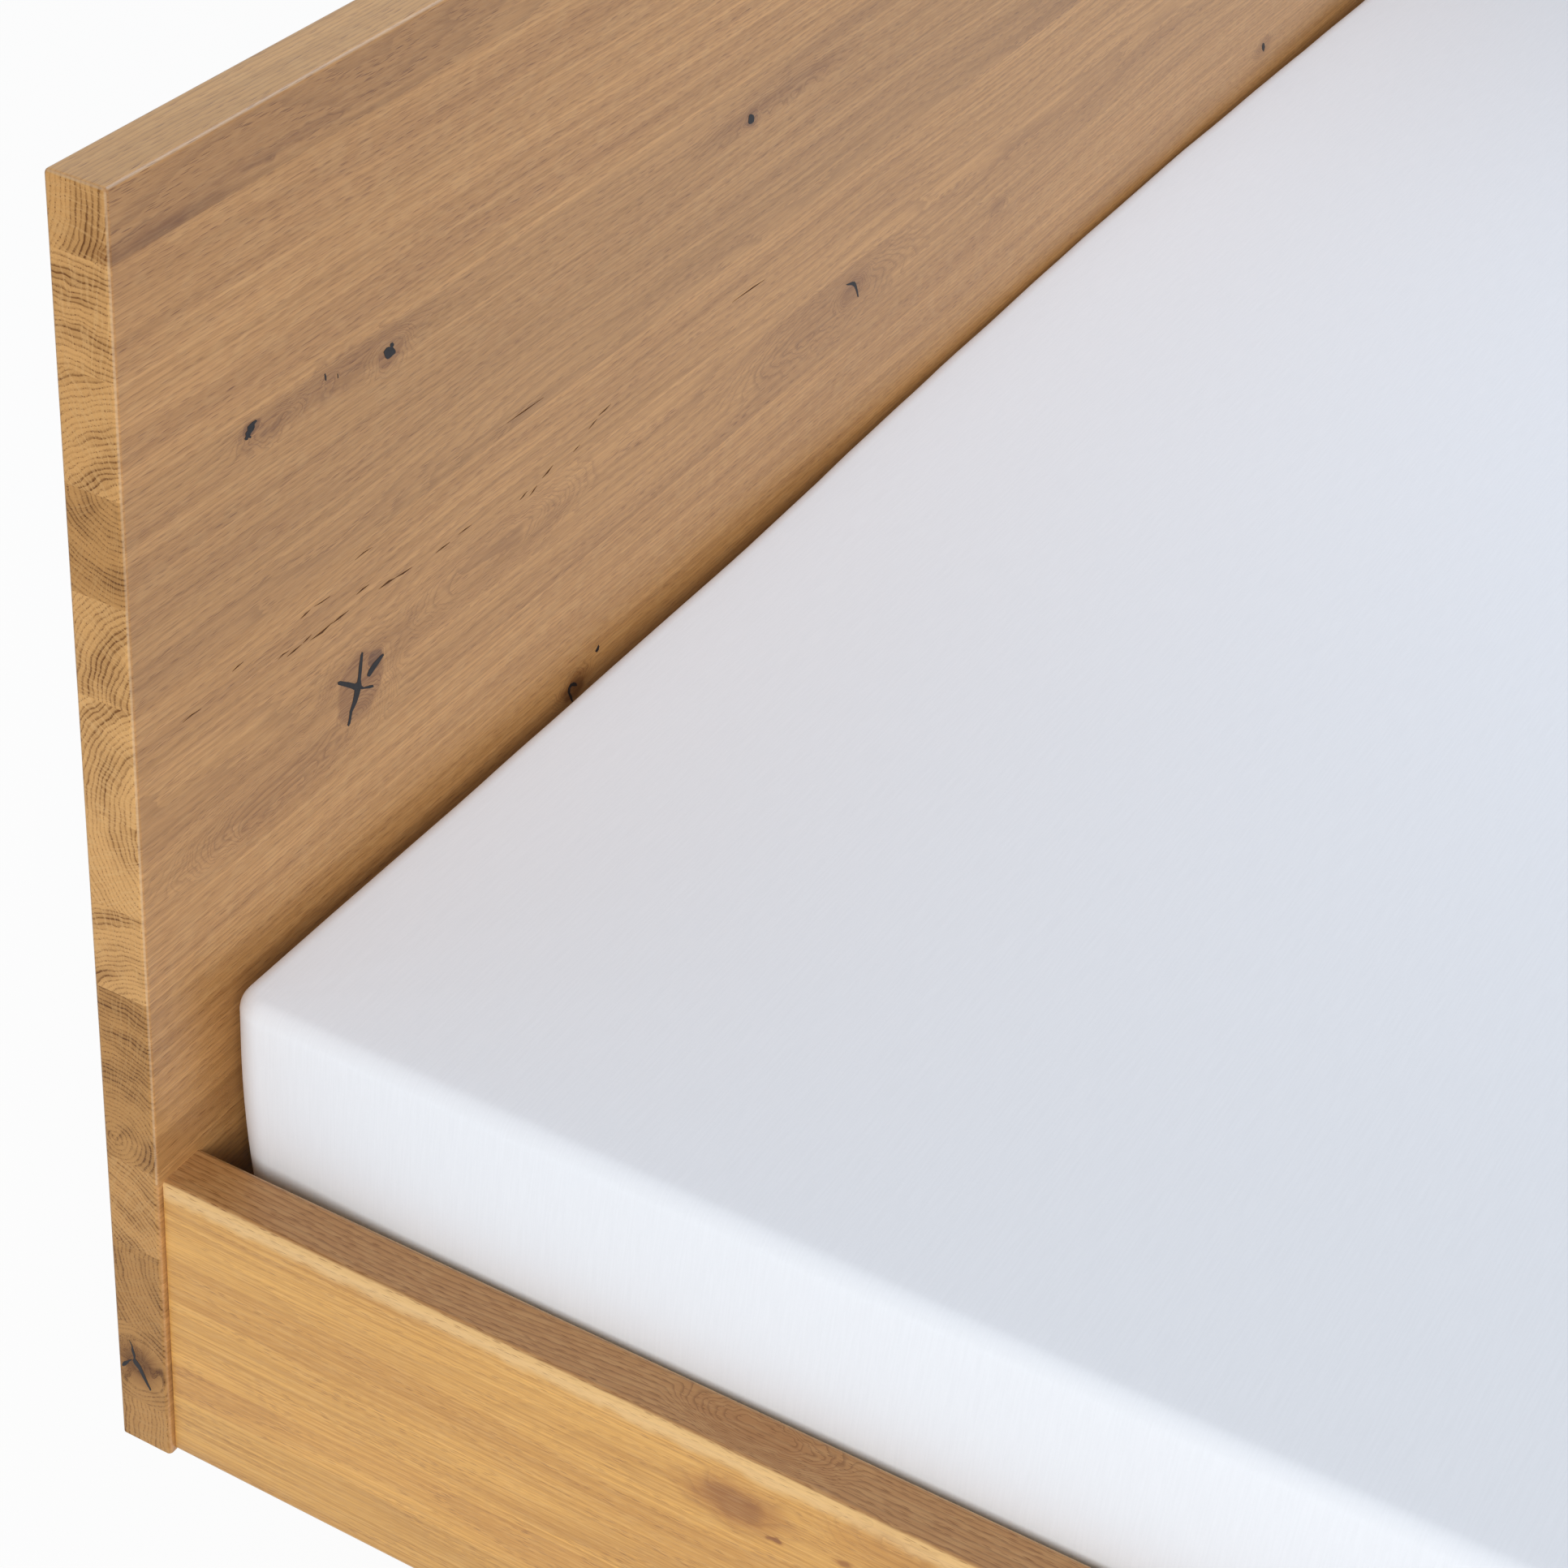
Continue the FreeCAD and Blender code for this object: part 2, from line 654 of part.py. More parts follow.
def build_mattress():
    """The mattress and the fitted sheet, which wraps its top and sides and is tucked under it."""
    save("mattress", [mattress_form(0)])
    sheet = mattress_form(seat_gap + sheet_thickness).cut(mattress_form(seat_gap))
    half_width = mattress_width / 2 - sheet_hem
    half_length = mattress_length / 2 - sheet_hem
    opening = block(
        Vector(-half_width, mattress_y - half_length, sheet_bottom - overrun),
        Vector(half_width, mattress_y + half_length, mattress_bottom + overrun),
    )
    opening = opening.makeFillet(mattress_corner_radius, edges_along(opening, UP))
    save("fitted_sheet", [cut_all(sheet, [opening])])


os.makedirs("parts", exist_ok=True)
build_boards()
build_fittings()
build_under_frame()
build_legs()
build_centre_legs()
for side_name, side_sign in SIDES:
    build_base(side_name, side_sign)
build_mattress()
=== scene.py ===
"""A double bed in oiled oak, with slatted bases and a mattress in a white fitted sheet.

The frame's own solids are dressed with materials, and what is soft, filled, threaded or screwed
is made here. Lengths in the classes are in millimetres, as on a workshop drawing.
"""
from __future__ import annotations

import json
import logging
import math
from dataclasses import dataclass, field
from enum import Enum
from functools import cached_property, partial
from itertools import product
from typing import Callable, Iterable, Sequence

import bmesh
import bpy
from mathutils import Euler, Matrix, Vector, noise

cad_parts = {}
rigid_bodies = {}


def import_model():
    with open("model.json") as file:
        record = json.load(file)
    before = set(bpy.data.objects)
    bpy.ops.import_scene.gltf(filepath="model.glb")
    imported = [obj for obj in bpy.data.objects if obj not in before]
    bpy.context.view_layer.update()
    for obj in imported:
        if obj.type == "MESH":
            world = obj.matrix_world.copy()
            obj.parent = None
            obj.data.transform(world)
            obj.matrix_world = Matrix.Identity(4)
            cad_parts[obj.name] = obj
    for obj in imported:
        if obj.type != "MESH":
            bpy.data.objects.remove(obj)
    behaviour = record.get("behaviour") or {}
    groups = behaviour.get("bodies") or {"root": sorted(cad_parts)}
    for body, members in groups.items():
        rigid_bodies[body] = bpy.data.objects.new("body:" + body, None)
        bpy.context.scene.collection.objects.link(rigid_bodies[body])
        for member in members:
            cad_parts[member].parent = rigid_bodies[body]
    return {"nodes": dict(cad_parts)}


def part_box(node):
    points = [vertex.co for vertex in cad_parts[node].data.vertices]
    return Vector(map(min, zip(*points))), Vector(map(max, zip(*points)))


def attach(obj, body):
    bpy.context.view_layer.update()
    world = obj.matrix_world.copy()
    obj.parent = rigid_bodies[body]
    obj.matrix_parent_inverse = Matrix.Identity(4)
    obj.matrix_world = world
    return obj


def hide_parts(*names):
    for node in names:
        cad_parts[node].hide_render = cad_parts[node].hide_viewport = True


MM = 0.001
LOG = logging.getLogger("bed")
Colour = tuple[float, float, float, float]
Point = tuple[float, float, float]
Outline = tuple[tuple[float, float], ...]
Mesh = bmesh.types.BMesh
Piece = bpy.types.Object
Socket = bpy.types.NodeSocket
Value = Socket | float
Inputs = dict[str | int, object]
Add = Callable[..., Socket]


class Axis(Enum):
    """The way that grain, thread or laminations run in a piece."""

    X = (1.0, 0.0, 0.0)
    Y = (0.0, 1.0, 0.0)
    Z = (0.0, 0.0, 1.0)


class Ends(Enum):
    """What becomes of a loft's first and last ring."""

    FACES = "each gets a face of its own"
    OPEN = "both stay open"
    JOINED = "they are joined to each other"


def linear(hex_colour: str) -> Colour:
    """Turns an sRGB hex colour into the linear values that a shader takes.

    Args:
        hex_colour: six hex digits after a hash.

    Returns:
        Red, green, blue and an alpha of one.
    """
    shares = [int(hex_colour[start:start + 2], 16) / 255 for start in (1, 3, 5)]
    red, green, blue = (s / 12.92 if s <= 0.04045 else ((s + 0.055) / 1.055) ** 2.4 for s in shares)
    return (red, green, blue, 1.0)


def add_node(
    tree: bpy.types.NodeTree, kind: str, inputs: Inputs | Sequence[object] = (), **settings: str | bool
) -> Socket | None:
    """Adds one node to a tree.

    Args:
        tree: the tree that it goes into.
        kind: the node's type, without the ShaderNode that every type here starts with.
        inputs: values, hex colours, or sockets, which are linked: for its first inputs in order,
            or by the inputs' names or numbers.
        settings: the node's own properties.

    Returns:
        The first of its outputs that is in use. Others are reached through it.
    """
    node = tree.nodes.new(f"ShaderNode{kind}")
    for name, value in settings.items():
        setattr(node, name, value)
    for name, value in inputs.items() if isinstance(inputs, dict) else enumerate(inputs):
        if isinstance(value, Socket):
            tree.links.new(value, node.inputs[name])
        else:
            node.inputs[name].default_value = linear(value) if isinstance(value, str) else value
    return next((output for output in node.outputs if output.enabled), None)


def empty_tree(holder: bpy.types.Material | bpy.types.World) -> Add:
    """Empties the node tree of a new material or world.

    Args:
        holder: the material or world.

    Returns:
        The function that adds a node to its tree.
    """
    holder.use_nodes = True
    holder.node_tree.nodes.clear()
    return partial(add_node, holder.node_tree)


def dress(material: bpy.types.Material, *nodes: str) -> None:
    """Gives solids of the frame their material.

    Args:
        material: what they are dressed with.
        nodes: the solids' names.
    """
    for node in nodes:
        mesh = FRAME["nodes"][node].data
        mesh.materials.clear()
        mesh.materials.append(material)


def box_of(*nodes: str, unit: float = 1.0) -> tuple[Vector, Vector]:
    """Finds the box round one or more solids.

    Args:
        nodes: their names.
        unit: MM for millimetres, or else the answer is in metres.

    Returns:
        Its lowest and highest corners.
    """
    lows, highs = zip(*(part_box(node) for node in nodes))
    low = Vector([min(corner[axis] for corner in lows) for axis in range(3)])
    high = Vector([max(corner[axis] for corner in highs) for axis in range(3)])
    return low / unit, high / unit


def new_object(name: str, data: bpy.types.ID) -> Piece:
    """Adds an object to the scene.

    Args:
        name: its name.
        data: its mesh, camera or light.

    Returns:
        The new object.
    """
    thing = bpy.data.objects.new(name, data)
    bpy.context.scene.collection.objects.link(thing)
    return thing


def make_piece(name: str, mesh: Mesh, finish: Finish, body: str, smooth: bool = True) -> Piece:
    """Turns a finished bmesh, in millimetres, into a piece that rides on a body.

    Args:
        name: the piece's name.
        mesh: its form, which is freed here.
        finish: what its surface is.
        body: the body that it moves with.
        smooth: whether its faces are shaded smooth.

    Returns:
        The new object.
    """
    bmesh.ops.recalc_face_normals(mesh, faces=mesh.faces)
    for face in mesh.faces:
        face.smooth = smooth
    data = bpy.data.meshes.new(name)
    mesh.to_mesh(data)
    mesh.free()
    data.transform(Matrix.Scale(MM, 4))
    data.materials.append(finish.material())
    piece = new_object(name, data)
    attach(piece, body)
    return piece


def loft(mesh: Mesh, rings: Sequence[Sequence[Point]], ends: Ends = Ends.FACES) -> None:
    """Joins closed rings of equal length with quads.

    Args:
        mesh: the bmesh that the faces go into.
        rings: each ring's points, in order.
        ends: what becomes of the first and last ring.
    """
    rows = [[mesh.verts.new(point) for point in ring] for ring in rings]
    count = len(rows[0])
    for lower, upper in zip(rows, rows[1:] + (rows[:1] if ends is Ends.JOINED else [])):
        for index in range(count):
            following = (index + 1) % count
            mesh.faces.new((lower[index], lower[following], upper[following], upper[index]))
    if ends is Ends.FACES:
        mesh.faces.new(rows[0])
        mesh.faces.new(rows[-1])


@dataclass(frozen=True)
class Finish:
    """What a surface is made of, under the common name of its material."""

    name: str

    def material(self) -> bpy.types.Material:
        """Makes the finish's material, or finds it where it is already made.

        Returns:
            The material.
        """
        material = bpy.data.materials.get(self.name)
        if not material:
            material = bpy.data.materials.new(self.name)
            add = empty_tree(material)
            add("OutputMaterial", {"Surface": add("BsdfPrincipled", self.surface(add))})
        return material

    def surface(self, add: Add) -> Inputs:
        """Adds the finish's pattern. Each kind of finish has its own.

        Args:
            add: adds a node to the material's tree.

        Returns:
            What goes into the shader's inputs, by their names.
        """
        raise NotImplementedError


@dataclass(frozen=True)
class BoardAxes:
    """A board's own axes: along the grain, through the thickness, and up across its staves."""

    origin: Point
    along: Point
    through: Point
    up: Point

    def mapping(self) -> Inputs:
        """Works out what a mapping node needs to give places on the board in millimetres.

        Returns:
            The node's Location, Rotation and Scale.
        """
        rows = Matrix((self.along, self.through, self.up))
        flip = -1.0 if rows.determinant() < 0 else 1.0
        turned = rows @ Matrix.Diagonal((flip, 1.0, 1.0))
        return {
            "Location": -(rows @ Vector(self.origin)) / MM,
            "Rotation": turned.to_euler(),
            "Scale": (flip / MM, 1 / MM, 1 / MM),
        }


@dataclass(frozen=True)
class Stave:
    """One stave of a glued board: its pith's place, and how light its face and its end grain are."""

    top_share: float
    pith_depth: float
    pith_level: float
    tone: float = 1.0
    end_tone: float = 1.0


@dataclass(frozen=True)
class Knot:
    """A knot or a stained place: the rings bend round it and it tints the wood.

    Its edge is the share of its reach at which the tint starts to fade: near 1 it ends sharply.
    """

    centre: Point
    reach: Point
    tint: float = 0.5
    push: float = 6.0
    edge: float = 0.25


@dataclass(frozen=True)
class SolidOak(Finish):
    """European oak, glued up from staves, sanded and oiled.

    The eye sees rings of open pores round each stave's pith, short dark dashes where the pores
    are cut lengthwise, pale rays that cross the rings, and a soft satin gloss from the oil.
    The rings are worked out in three dimensions, so end grain and faces belong together.
    A real pore is 0.3 mm wide, too fine to show in the render, so each one drawn stands for a
    small bunch of them, pore_width apart, and end_pore_width apart on end grain.
    """

    axes: BoardAxes = BoardAxes((0, 0, 0), Axis.X.value, Axis.Y.value, Axis.Z.value)
    extent: Point = (1000.0, 33.0, 100.0)
    staves: tuple[Stave, ...] = (Stave(1.0, -80.0, 20.0),)
    knots: tuple[Knot, ...] = ()
    light: str = "#C9965D"
    middle: str = "#AC7D48"
    dark: str = "#87592F"
    pore: str = "#633310"
    ring: str = "#855A30"
    ray: str = "#D3AA74"
    knot_tint: str = "#7E4F26"
    knot_core: str = "#4A2A14"
    end_light: str = "#D2A46A"
    end_dark: str = "#704618"
    top_tint: str = "#96693F"
    # The colour of a painted highlight along the board's edges, where they would catch the light.
    arris: str = "#EBDCC4"
    ior: float = 1.5
    roughness: float = 0.37
    gloss: float = 0.55
    end_gloss: float = 0.15
    relief: float = 0.1
    top_share: float = 0.0
    top_grain: float = 0.0
    # A pale band along the top of the face, partly sapwood and partly a painted highlight where the top edge
    # would catch the light: its strength, and the depths from the top where it starts and where it is whole.
    sapwood_share: float = 0.0
    sapwood_depths: tuple[float, float] = (9.0, 2.0)
    zone_depth: float = 0.36
    zone_scale: Point = (1 / 480.0, 1 / 13.0, 1.4)
    zone_seed: Point = (37.0, 41.0, 43.0)
    ring_depth: float = 0.34
    ring_width: float = 2.9
    season_run: float = 13.0
    pore_width: float = 0.62
    pore_length: float = 11.0
    pore_share: float = 0.58
    end_pore_width: float = 0.95
    ray_spacing: float = 0.9
    ray_radius: float = 60.0
    ray_height: float = 14.0
    ray_length: float = 16.0
    streaks: Point = (1 / 260.0, 1 / 5.0, 1 / 3.0)
    # The painted edge highlight: how wide it is, how strong, which ways its edges run, and the level below
    # which it is left off.
    arris_width: float = 0.9
    arris_share: float = 0.5
    arris_ways: tuple[str, ...] = ("X", "Y", "Z")
    arris_level: float = 0.0
    knot_rings: float = 1.3
    warp: Point = (16.0, 8.0, 8.0)
    warp_size: float = 15.0
    pith_room: float = 150.0
    wander: Point = (0.0, 44.0, 34.0)
    wander_run: float = 420.0
    wander_start: float = 160.0
    ripple: Point = (0.0, 6.0, 6.0)
    ripple_scale: Point = (1 / 130.0, 1 / 15.0, 1 / 15.0)

    def surface(self, add: Add) -> Inputs:
        """Returns the oak's pattern, which has a class of its own."""
        return OakPattern(self, add).shader_inputs()


@dataclass
class OakPattern:
    """The pattern of an oak finish. Each property adds its nodes when it is first read."""

    oak: SolidOak
    add: Add

    def shader_inputs(self) -> Inputs:
        """Adds the last steps: less gloss on end grain, and pores that lie a little deeper.

        Returns:
            What goes into the shader's inputs, by their names.
        """
        oak = self.oak
        gloss = self.add("MapRange", {"Value": self.end, "To Min": oak.gloss, "To Max": oak.end_gloss})
        relief = self.add("Math", [self.openings, -1.0], operation="MULTIPLY")
        bump = self.add("Bump", {"Strength": 0.3, "Distance": oak.relief * MM, "Height": relief})
        return {
            "Base Color": self.toned,
            "Roughness": oak.roughness,
            "IOR": oak.ior,
            "Specular IOR Level": gloss,
            "Normal": bump,
        }

    @cached_property
    def place(self) -> bpy.types.bpy_prop_collection:
        """The outputs for a point's place and the way that it faces."""
        return self.add("TexCoord").node.outputs

    @cached_property
    def board(self) -> Socket:
        """The place on the board in millimetres."""
        return self.add("Mapping", {"Vector": self.place["Object"], **self.oak.axes.mapping()})

    @cached_property
    def parts(self) -> Sequence[Socket]:
        """The place on the board as three values: along it, through it and up."""
        return self.add("SeparateXYZ", [self.board]).node.outputs

    @cached_property
    def warped(self) -> Socket:
        """Sways the place a little.

        Returns:
            An uneven copy of it, so that knots and bands have no plain outline.
        """
        cloud = self.add("TexNoise", {"Vector": self.board, "Scale": 1 / self.oak.warp_size, "Detail": 2.0})
        shift = [cloud.node.outputs["Color"], self.oak.warp, self.board]
        return self.add("VectorMath", shift, operation="MULTIPLY_ADD")

    @cached_property
    def end(self) -> Socket:
        """Tells end grain from long grain.

        Returns:
            1 on end grain, and 0 on long grain.
        """
        facing = self.add("VectorMath", [self.place["Normal"], self.oak.axes.along], operation="DOT_PRODUCT")
        size = self.add("Math", [facing], operation="ABSOLUTE")
        return self.add("MapRange", {"Value": size, "From Min": 0.5, "From Max": 0.85})

    @cached_property
    def top(self) -> Socket:
        """Finds the board's upper edge.

        Returns:
            1 on that edge, fading over its rounded corner, and else 0.
        """
        facing = self.add("VectorMath", [self.place["Normal"], self.oak.axes.up], operation="DOT_PRODUCT")
        span = {"Value": facing, "From Min": 0.75, "From Max": 0.97}
        return self.add("MapRange", span, interpolation_type="SMOOTHSTEP")

    @cached_property
    def staves(self) -> Sequence[Socket]:
        """Sets each stave's values, in steps up the board.

        Returns:
            A colour that holds half the face's tone, and the pith's depth and level as shares,
            and half the end grain's tone.
        """
        room, height = self.oak.pith_room, self.oak.extent[2]
        share = self.add("Math", [self.parts[2], height], operation="DIVIDE")
        ramp = self.add("ValToRGB", [share]).node
        steps = ramp.color_ramp
        steps.interpolation = "CONSTANT"
        steps.elements.remove(steps.elements[1])
        start = 0.0
        for index, stave in enumerate(self.oak.staves):
            step = steps.elements.new(start) if index else steps.elements[0]
            depth = (stave.pith_depth + room) / (2 * room)
            level = (stave.pith_level + room) / (height + 2 * room)
            step.color = (stave.tone / 2, depth, level, stave.end_tone / 2)
            start = stave.top_share
        return ramp.outputs

    @cached_property
    def knots(self) -> tuple[Value, Value]:
        """Adds up the knots.

        Returns:
            The share of their tint, and their push on the rings in millimetres.
        """
        halo: Value = 0.0
        push: Value = 0.0
        for knot in self.oak.knots:
            scale = Vector([1 / reach for reach in knot.reach])
            offset = [-(c + w / 2) * s for c, w, s in zip(knot.centre, self.oak.warp, scale)]
            near = self.add("VectorMath", [self.warped, scale, offset], operation="MULTIPLY_ADD")
            distance = self.add("VectorMath", [near], operation="LENGTH")
            span = {"Value": distance, "From Min": knot.edge, "From Max": 1.0, "To Min": 1.0, "To Max": 0.0}
            share = self.add("MapRange", span, interpolation_type="SMOOTHSTEP")
            tint = self.add("Math", [share, knot.tint], operation="MULTIPLY")
            halo = self.add("Math", [tint, halo], operation="MAXIMUM")
            push = self.add("Math", [share, knot.push, push], operation="MULTIPLY_ADD")
        return halo, push

    @cached_property
    def pith_way(self) -> Socket:
        """Lets the pith wander along the log.

        Returns:
            The way from the pith to the point, across the grain.
        """
        add, oak, stave, room = self.add, self.oak, self.staves[0], self.oak.pith_room
        centre = Vector((0.0, room, room)) - Vector(oak.ripple) / 2
        span = (0.0, -2 * room, -(oak.extent[2] + 2 * room))
        pith = add("VectorMath", [stave, span, centre], operation="MULTIPLY_ADD")
        across = add("VectorMath", [self.board, (0.0, 1.0, 1.0), pith], operation="MULTIPLY_ADD")
        run = [self.board, (1 / oak.wander_run, 0.0, 0.0), stave]
        seed = add("VectorMath", run, operation="MULTIPLY_ADD")
        bend = add("TexNoise", {"Vector": seed, "Scale": 1.0, "Detail": 1.0}).node.outputs["Color"]
        sway = add("VectorMath", [bend, (0.5, 0.5, 0.5)], operation="SUBTRACT")
        growth = add("MapRange", {"Value": self.parts[0], "From Min": 0.0, "From Max": oak.wander_start})
        grown = add("VectorMath", {0: sway, "Scale": growth}, operation="SCALE")
        bent = add("VectorMath", [grown, oak.wander, across], operation="MULTIPLY_ADD")
        fine = add("VectorMath", [self.board, oak.ripple_scale], operation="MULTIPLY")
        waves = add("TexNoise", {"Vector": fine, "Scale": 1.0, "Detail": 2.0}).node.outputs["Color"]
        return add("VectorMath", [waves, oak.ripple, bent], operation="MULTIPLY_ADD")

    @cached_property
    def radius(self) -> Socket:
        """The distance from the pith, with the knots' push."""
        length = self.add("VectorMath", [self.pith_way], operation="LENGTH")
        return self.add("Math", [length, self.knots[1]], operation="ADD")

    @cached_property
    def angle(self) -> Socket:
        """The direction round the pith."""
        _, side, up = self.add("SeparateXYZ", [self.pith_way]).node.outputs
        return self.add("Math", [up, side], operation="ARCTAN2")

    @cached_property
    def year(self) -> Socket:
        """Cuts the radius into years.

        Returns:
            How far the year had come when the wood grew, from 0 in spring to 1 in late autumn.
        """
        noisy = {"W": self.radius, "Scale": 1 / self.oak.season_run, "Detail": 1.0}
        seasons = self.add("TexNoise", noisy, noise_dimensions="1D")
        count = [self.radius, 1 / self.oak.ring_width, seasons]
        return self.add("Math", [self.add("Math", count, operation="MULTIPLY_ADD")], operation="FRACT")

    @cached_property
    def spring(self) -> Socket:
        """How much a place belongs to its year's spring wood."""
        span = {"Value": self.year, "From Min": 0.15, "From Max": 0.5, "To Min": 1.0, "To Max": 0.0}
        return self.add("MapRange", span, interpolation_type="SMOOTHSTEP")

    @cached_property
    def zone(self) -> Socket:
        """Lays out the dark heartwood.

        Returns:
            How dark its zones are, which follow the rings and run far along the grain.
        """
        seed = self.add("VectorMath", [self.staves[0], self.oak.zone_seed], operation="MULTIPLY")
        place = self.add("CombineXYZ", [self.parts[0], self.radius, self.angle])
        spread = self.add("VectorMath", [place, self.oak.zone_scale, seed], operation="MULTIPLY_ADD")
        cloud = self.add("TexNoise", {"Vector": spread, "Scale": 1.0, "Detail": 2.0})
        return self.add("MapRange", {"Value": cloud, "From Min": 0.46, "From Max": 0.7})

    @cached_property
    def openings(self) -> Socket:
        """Scatters the pores, long tubes along the grain.

        Returns:
            The share of each point that an open pore takes.
        """
        oak = self.oak
        on_face = (1 / oak.pore_length, 1 / oak.pore_width, 1 / oak.pore_width)
        on_end = (0.0, 1 / oak.end_pore_width, 1 / oak.end_pore_width)
        scale = self.add("Mix", {0: self.end, 4: on_face, 5: on_end}, data_type="VECTOR")
        cells = self.add("VectorMath", [self.board, scale], operation="MULTIPLY")
        tubes = self.add("TexVoronoi", {"Vector": cells, "Scale": 1.0, "Randomness": 0.9})
        span = {"Value": tubes, "From Min": 0.2, "From Max": 0.42, "To Min": 1.0, "To Max": 0.0}
        return self.add("MapRange", span)

    @cached_property
    def pores(self) -> Socket:
        """Thins the pores out.

        Returns:
            Where they show dark: in spring wood, most of all on end grain.
        """
        add, oak = self.add, self.oak
        patchy = add("Math", [self.zone, 0.3, oak.pore_share], operation="MULTIPLY_ADD")
        above = add("Math", [self.top, oak.top_grain, patchy], operation="MULTIPLY_ADD")
        strength = add("Math", [self.end, 0.2, above], operation="MULTIPLY_ADD", use_clamp=True)
        elsewhere = add("MapRange", {"Value": self.end, "To Min": 0.35, "To Max": 0.2})
        sown = add("Math", [self.spring, elsewhere], operation="MAXIMUM")
        shown = add("Math", [self.openings, sown], operation="MULTIPLY")
        return add("Math", [shown, strength], operation="MULTIPLY")

    @cached_property
    def rays(self) -> Socket:
        """Draws the rays out from the pith.

        Returns:
            Where these thin pale sheets show, clearest on end grain.
        """
        oak = self.oak
        place = self.add("CombineXYZ", [self.parts[0], self.angle, self.radius])
        scale = (1 / oak.ray_height, oak.ray_radius / oak.ray_spacing, 1 / oak.ray_length)
        sheets = self.add("VectorMath", [place, scale], operation="MULTIPLY")
        pattern = self.add("TexNoise", {"Vector": sheets, "Scale": 1.0, "Detail": 0.0})
        line = self.add("MapRange", {"Value": pattern, "From Min": 0.5, "From Max": 0.66})
        strength = self.add("Math", [self.end, 0.38, 0.12], operation="MULTIPLY_ADD")
        return self.add("Math", [line, strength], operation="MULTIPLY")

    @cached_property
    def arrises(self) -> Socket:
        """Paints a pale highlight along the board's edges, as if they caught the light.

        Returns:
            The share of this painted highlight, where two faces of the board are near, above a set level.
        """
        add, oak = self.add, self.oak
        beyond = add("VectorMath", [oak.extent, self.board], operation="SUBTRACT")
        inside = add("VectorMath", [self.board, beyond], operation="MINIMUM")
        slope = [inside, (-1 / oak.arris_width,) * 3, (1.5,) * 3]
        near = add("SeparateXYZ", [add("VectorMath", slope, operation="MULTIPLY_ADD")]).node.outputs
        total: Value = -1.0
        for way in oak.arris_ways:
            share = add("Math", [near[way], 1.0], operation="MULTIPLY", use_clamp=True)
            total = add("Math", [share, total], operation="ADD")
        line = add("Math", [total, oak.arris_share], operation="MULTIPLY", use_clamp=True)
        # Below this level the painted highlight is left off, as if the edge lay in shade.
        clear = add("Math", [self.parts[2], oak.arris_level - 0.5], operation="GREATER_THAN")
        return add("Math", [line, clear], operation="MULTIPLY")

    def layered(self, colour: Socket, *layers: tuple[Value, str]) -> Socket:
        """Lays colours over each other.

        Args:
            colour: the lowest one.
            layers: the share and the hex colour of each that goes over it, in order.

        Returns:
            What they come to.
        """
        for share, tint in layers:
            colour = self.add("Mix", {0: share, 6: colour, 7: tint}, data_type="RGBA")
        return colour

    @cached_property
    def long_grain(self) -> Socket:
        """Colours long grain.

        Returns:
            Its streaks, dark zones, a pale band at the top that is partly sapwood and partly a painted
            highlight of the top edge, and autumn lines.
        """
        add, oak = self.add, self.oak
        run = add("VectorMath", [self.board, oak.streaks, self.staves[0]], operation="MULTIPLY_ADD")
        streak = add("TexNoise", {"Vector": run, "Scale": 1.0, "Detail": 4.0, "Roughness": 0.7})
        share = add("MapRange", {"Value": streak, "From Min": 0.33, "From Max": 0.67})
        plain = add("Mix", {0: share, 6: oak.light, 7: oak.middle}, data_type="RGBA")
        layers = [(add("Math", [self.zone, oak.zone_depth], operation="MULTIPLY"), oak.dark)]
        if oak.top_share or oak.sapwood_share:
            # The pale band at the top is partly sapwood and partly painted highlight.
            start, whole = (oak.extent[2] - depth for depth in oak.sapwood_depths)
            level = add("SeparateXYZ", [self.warped]).node.outputs["Z"]
            span = {"Value": level, "From Min": start, "From Max": whole, "To Max": oak.sapwood_share}
            layers.append((add("MapRange", span, interpolation_type="SMOOTHSTEP"), oak.ray))
            layers.append((add("Math", [self.top, oak.top_share], operation="MULTIPLY"), oak.top_tint))
        late = add("MapRange", {"Value": self.year, "From Min": 0.6, "From Max": 0.95})
        on_top = add("Math", [self.top, oak.top_grain, oak.ring_depth], operation="MULTIPLY_ADD")
        depth = add("Math", [self.knots[0], oak.knot_rings, on_top], operation="MULTIPLY_ADD")
        layers.append((add("Math", [late, depth], operation="MULTIPLY"), oak.ring))
        return self.layered(plain, *layers)

    @cached_property
    def end_grain(self) -> Socket:
        """Colours end grain.

        Returns:
            Its rows of spring pores, deepest in the dark zones.
        """
        depth = self.add("Math", [self.zone, 0.42, 0.2], operation="MULTIPLY_ADD")
        rings = self.add("Math", [self.spring, depth], operation="MULTIPLY")
        share = self.add("Math", [self.zone, 0.34, rings], operation="MULTIPLY_ADD")
        return self.add("Mix", {0: share, 6: self.oak.end_light, 7: self.oak.end_dark}, data_type="RGBA")

    @cached_property
    def colour(self) -> Socket:
        """Lays the colours over each other.

        Returns:
            The grain, then knots, darker still at their hearts, rays, pores, and a painted highlight along
            the edges.
        """
        oak = self.oak
        grain = self.add("Mix", {0: self.end, 6: self.long_grain, 7: self.end_grain}, data_type="RGBA")
        # The last layer is the painted highlight along the edges.
        layers = [(self.rays, oak.ray), (self.pores, oak.pore), (self.arrises, oak.arris)]
        if oak.knots:
            halo = self.knots[0]
            heart = self.add("MapRange", {"Value": halo, "From Min": 0.55, "From Max": 0.8, "To Max": 0.55})
            layers = [(halo, oak.knot_tint), (heart, oak.knot_core), *layers]
        return self.layered(grain, *layers)

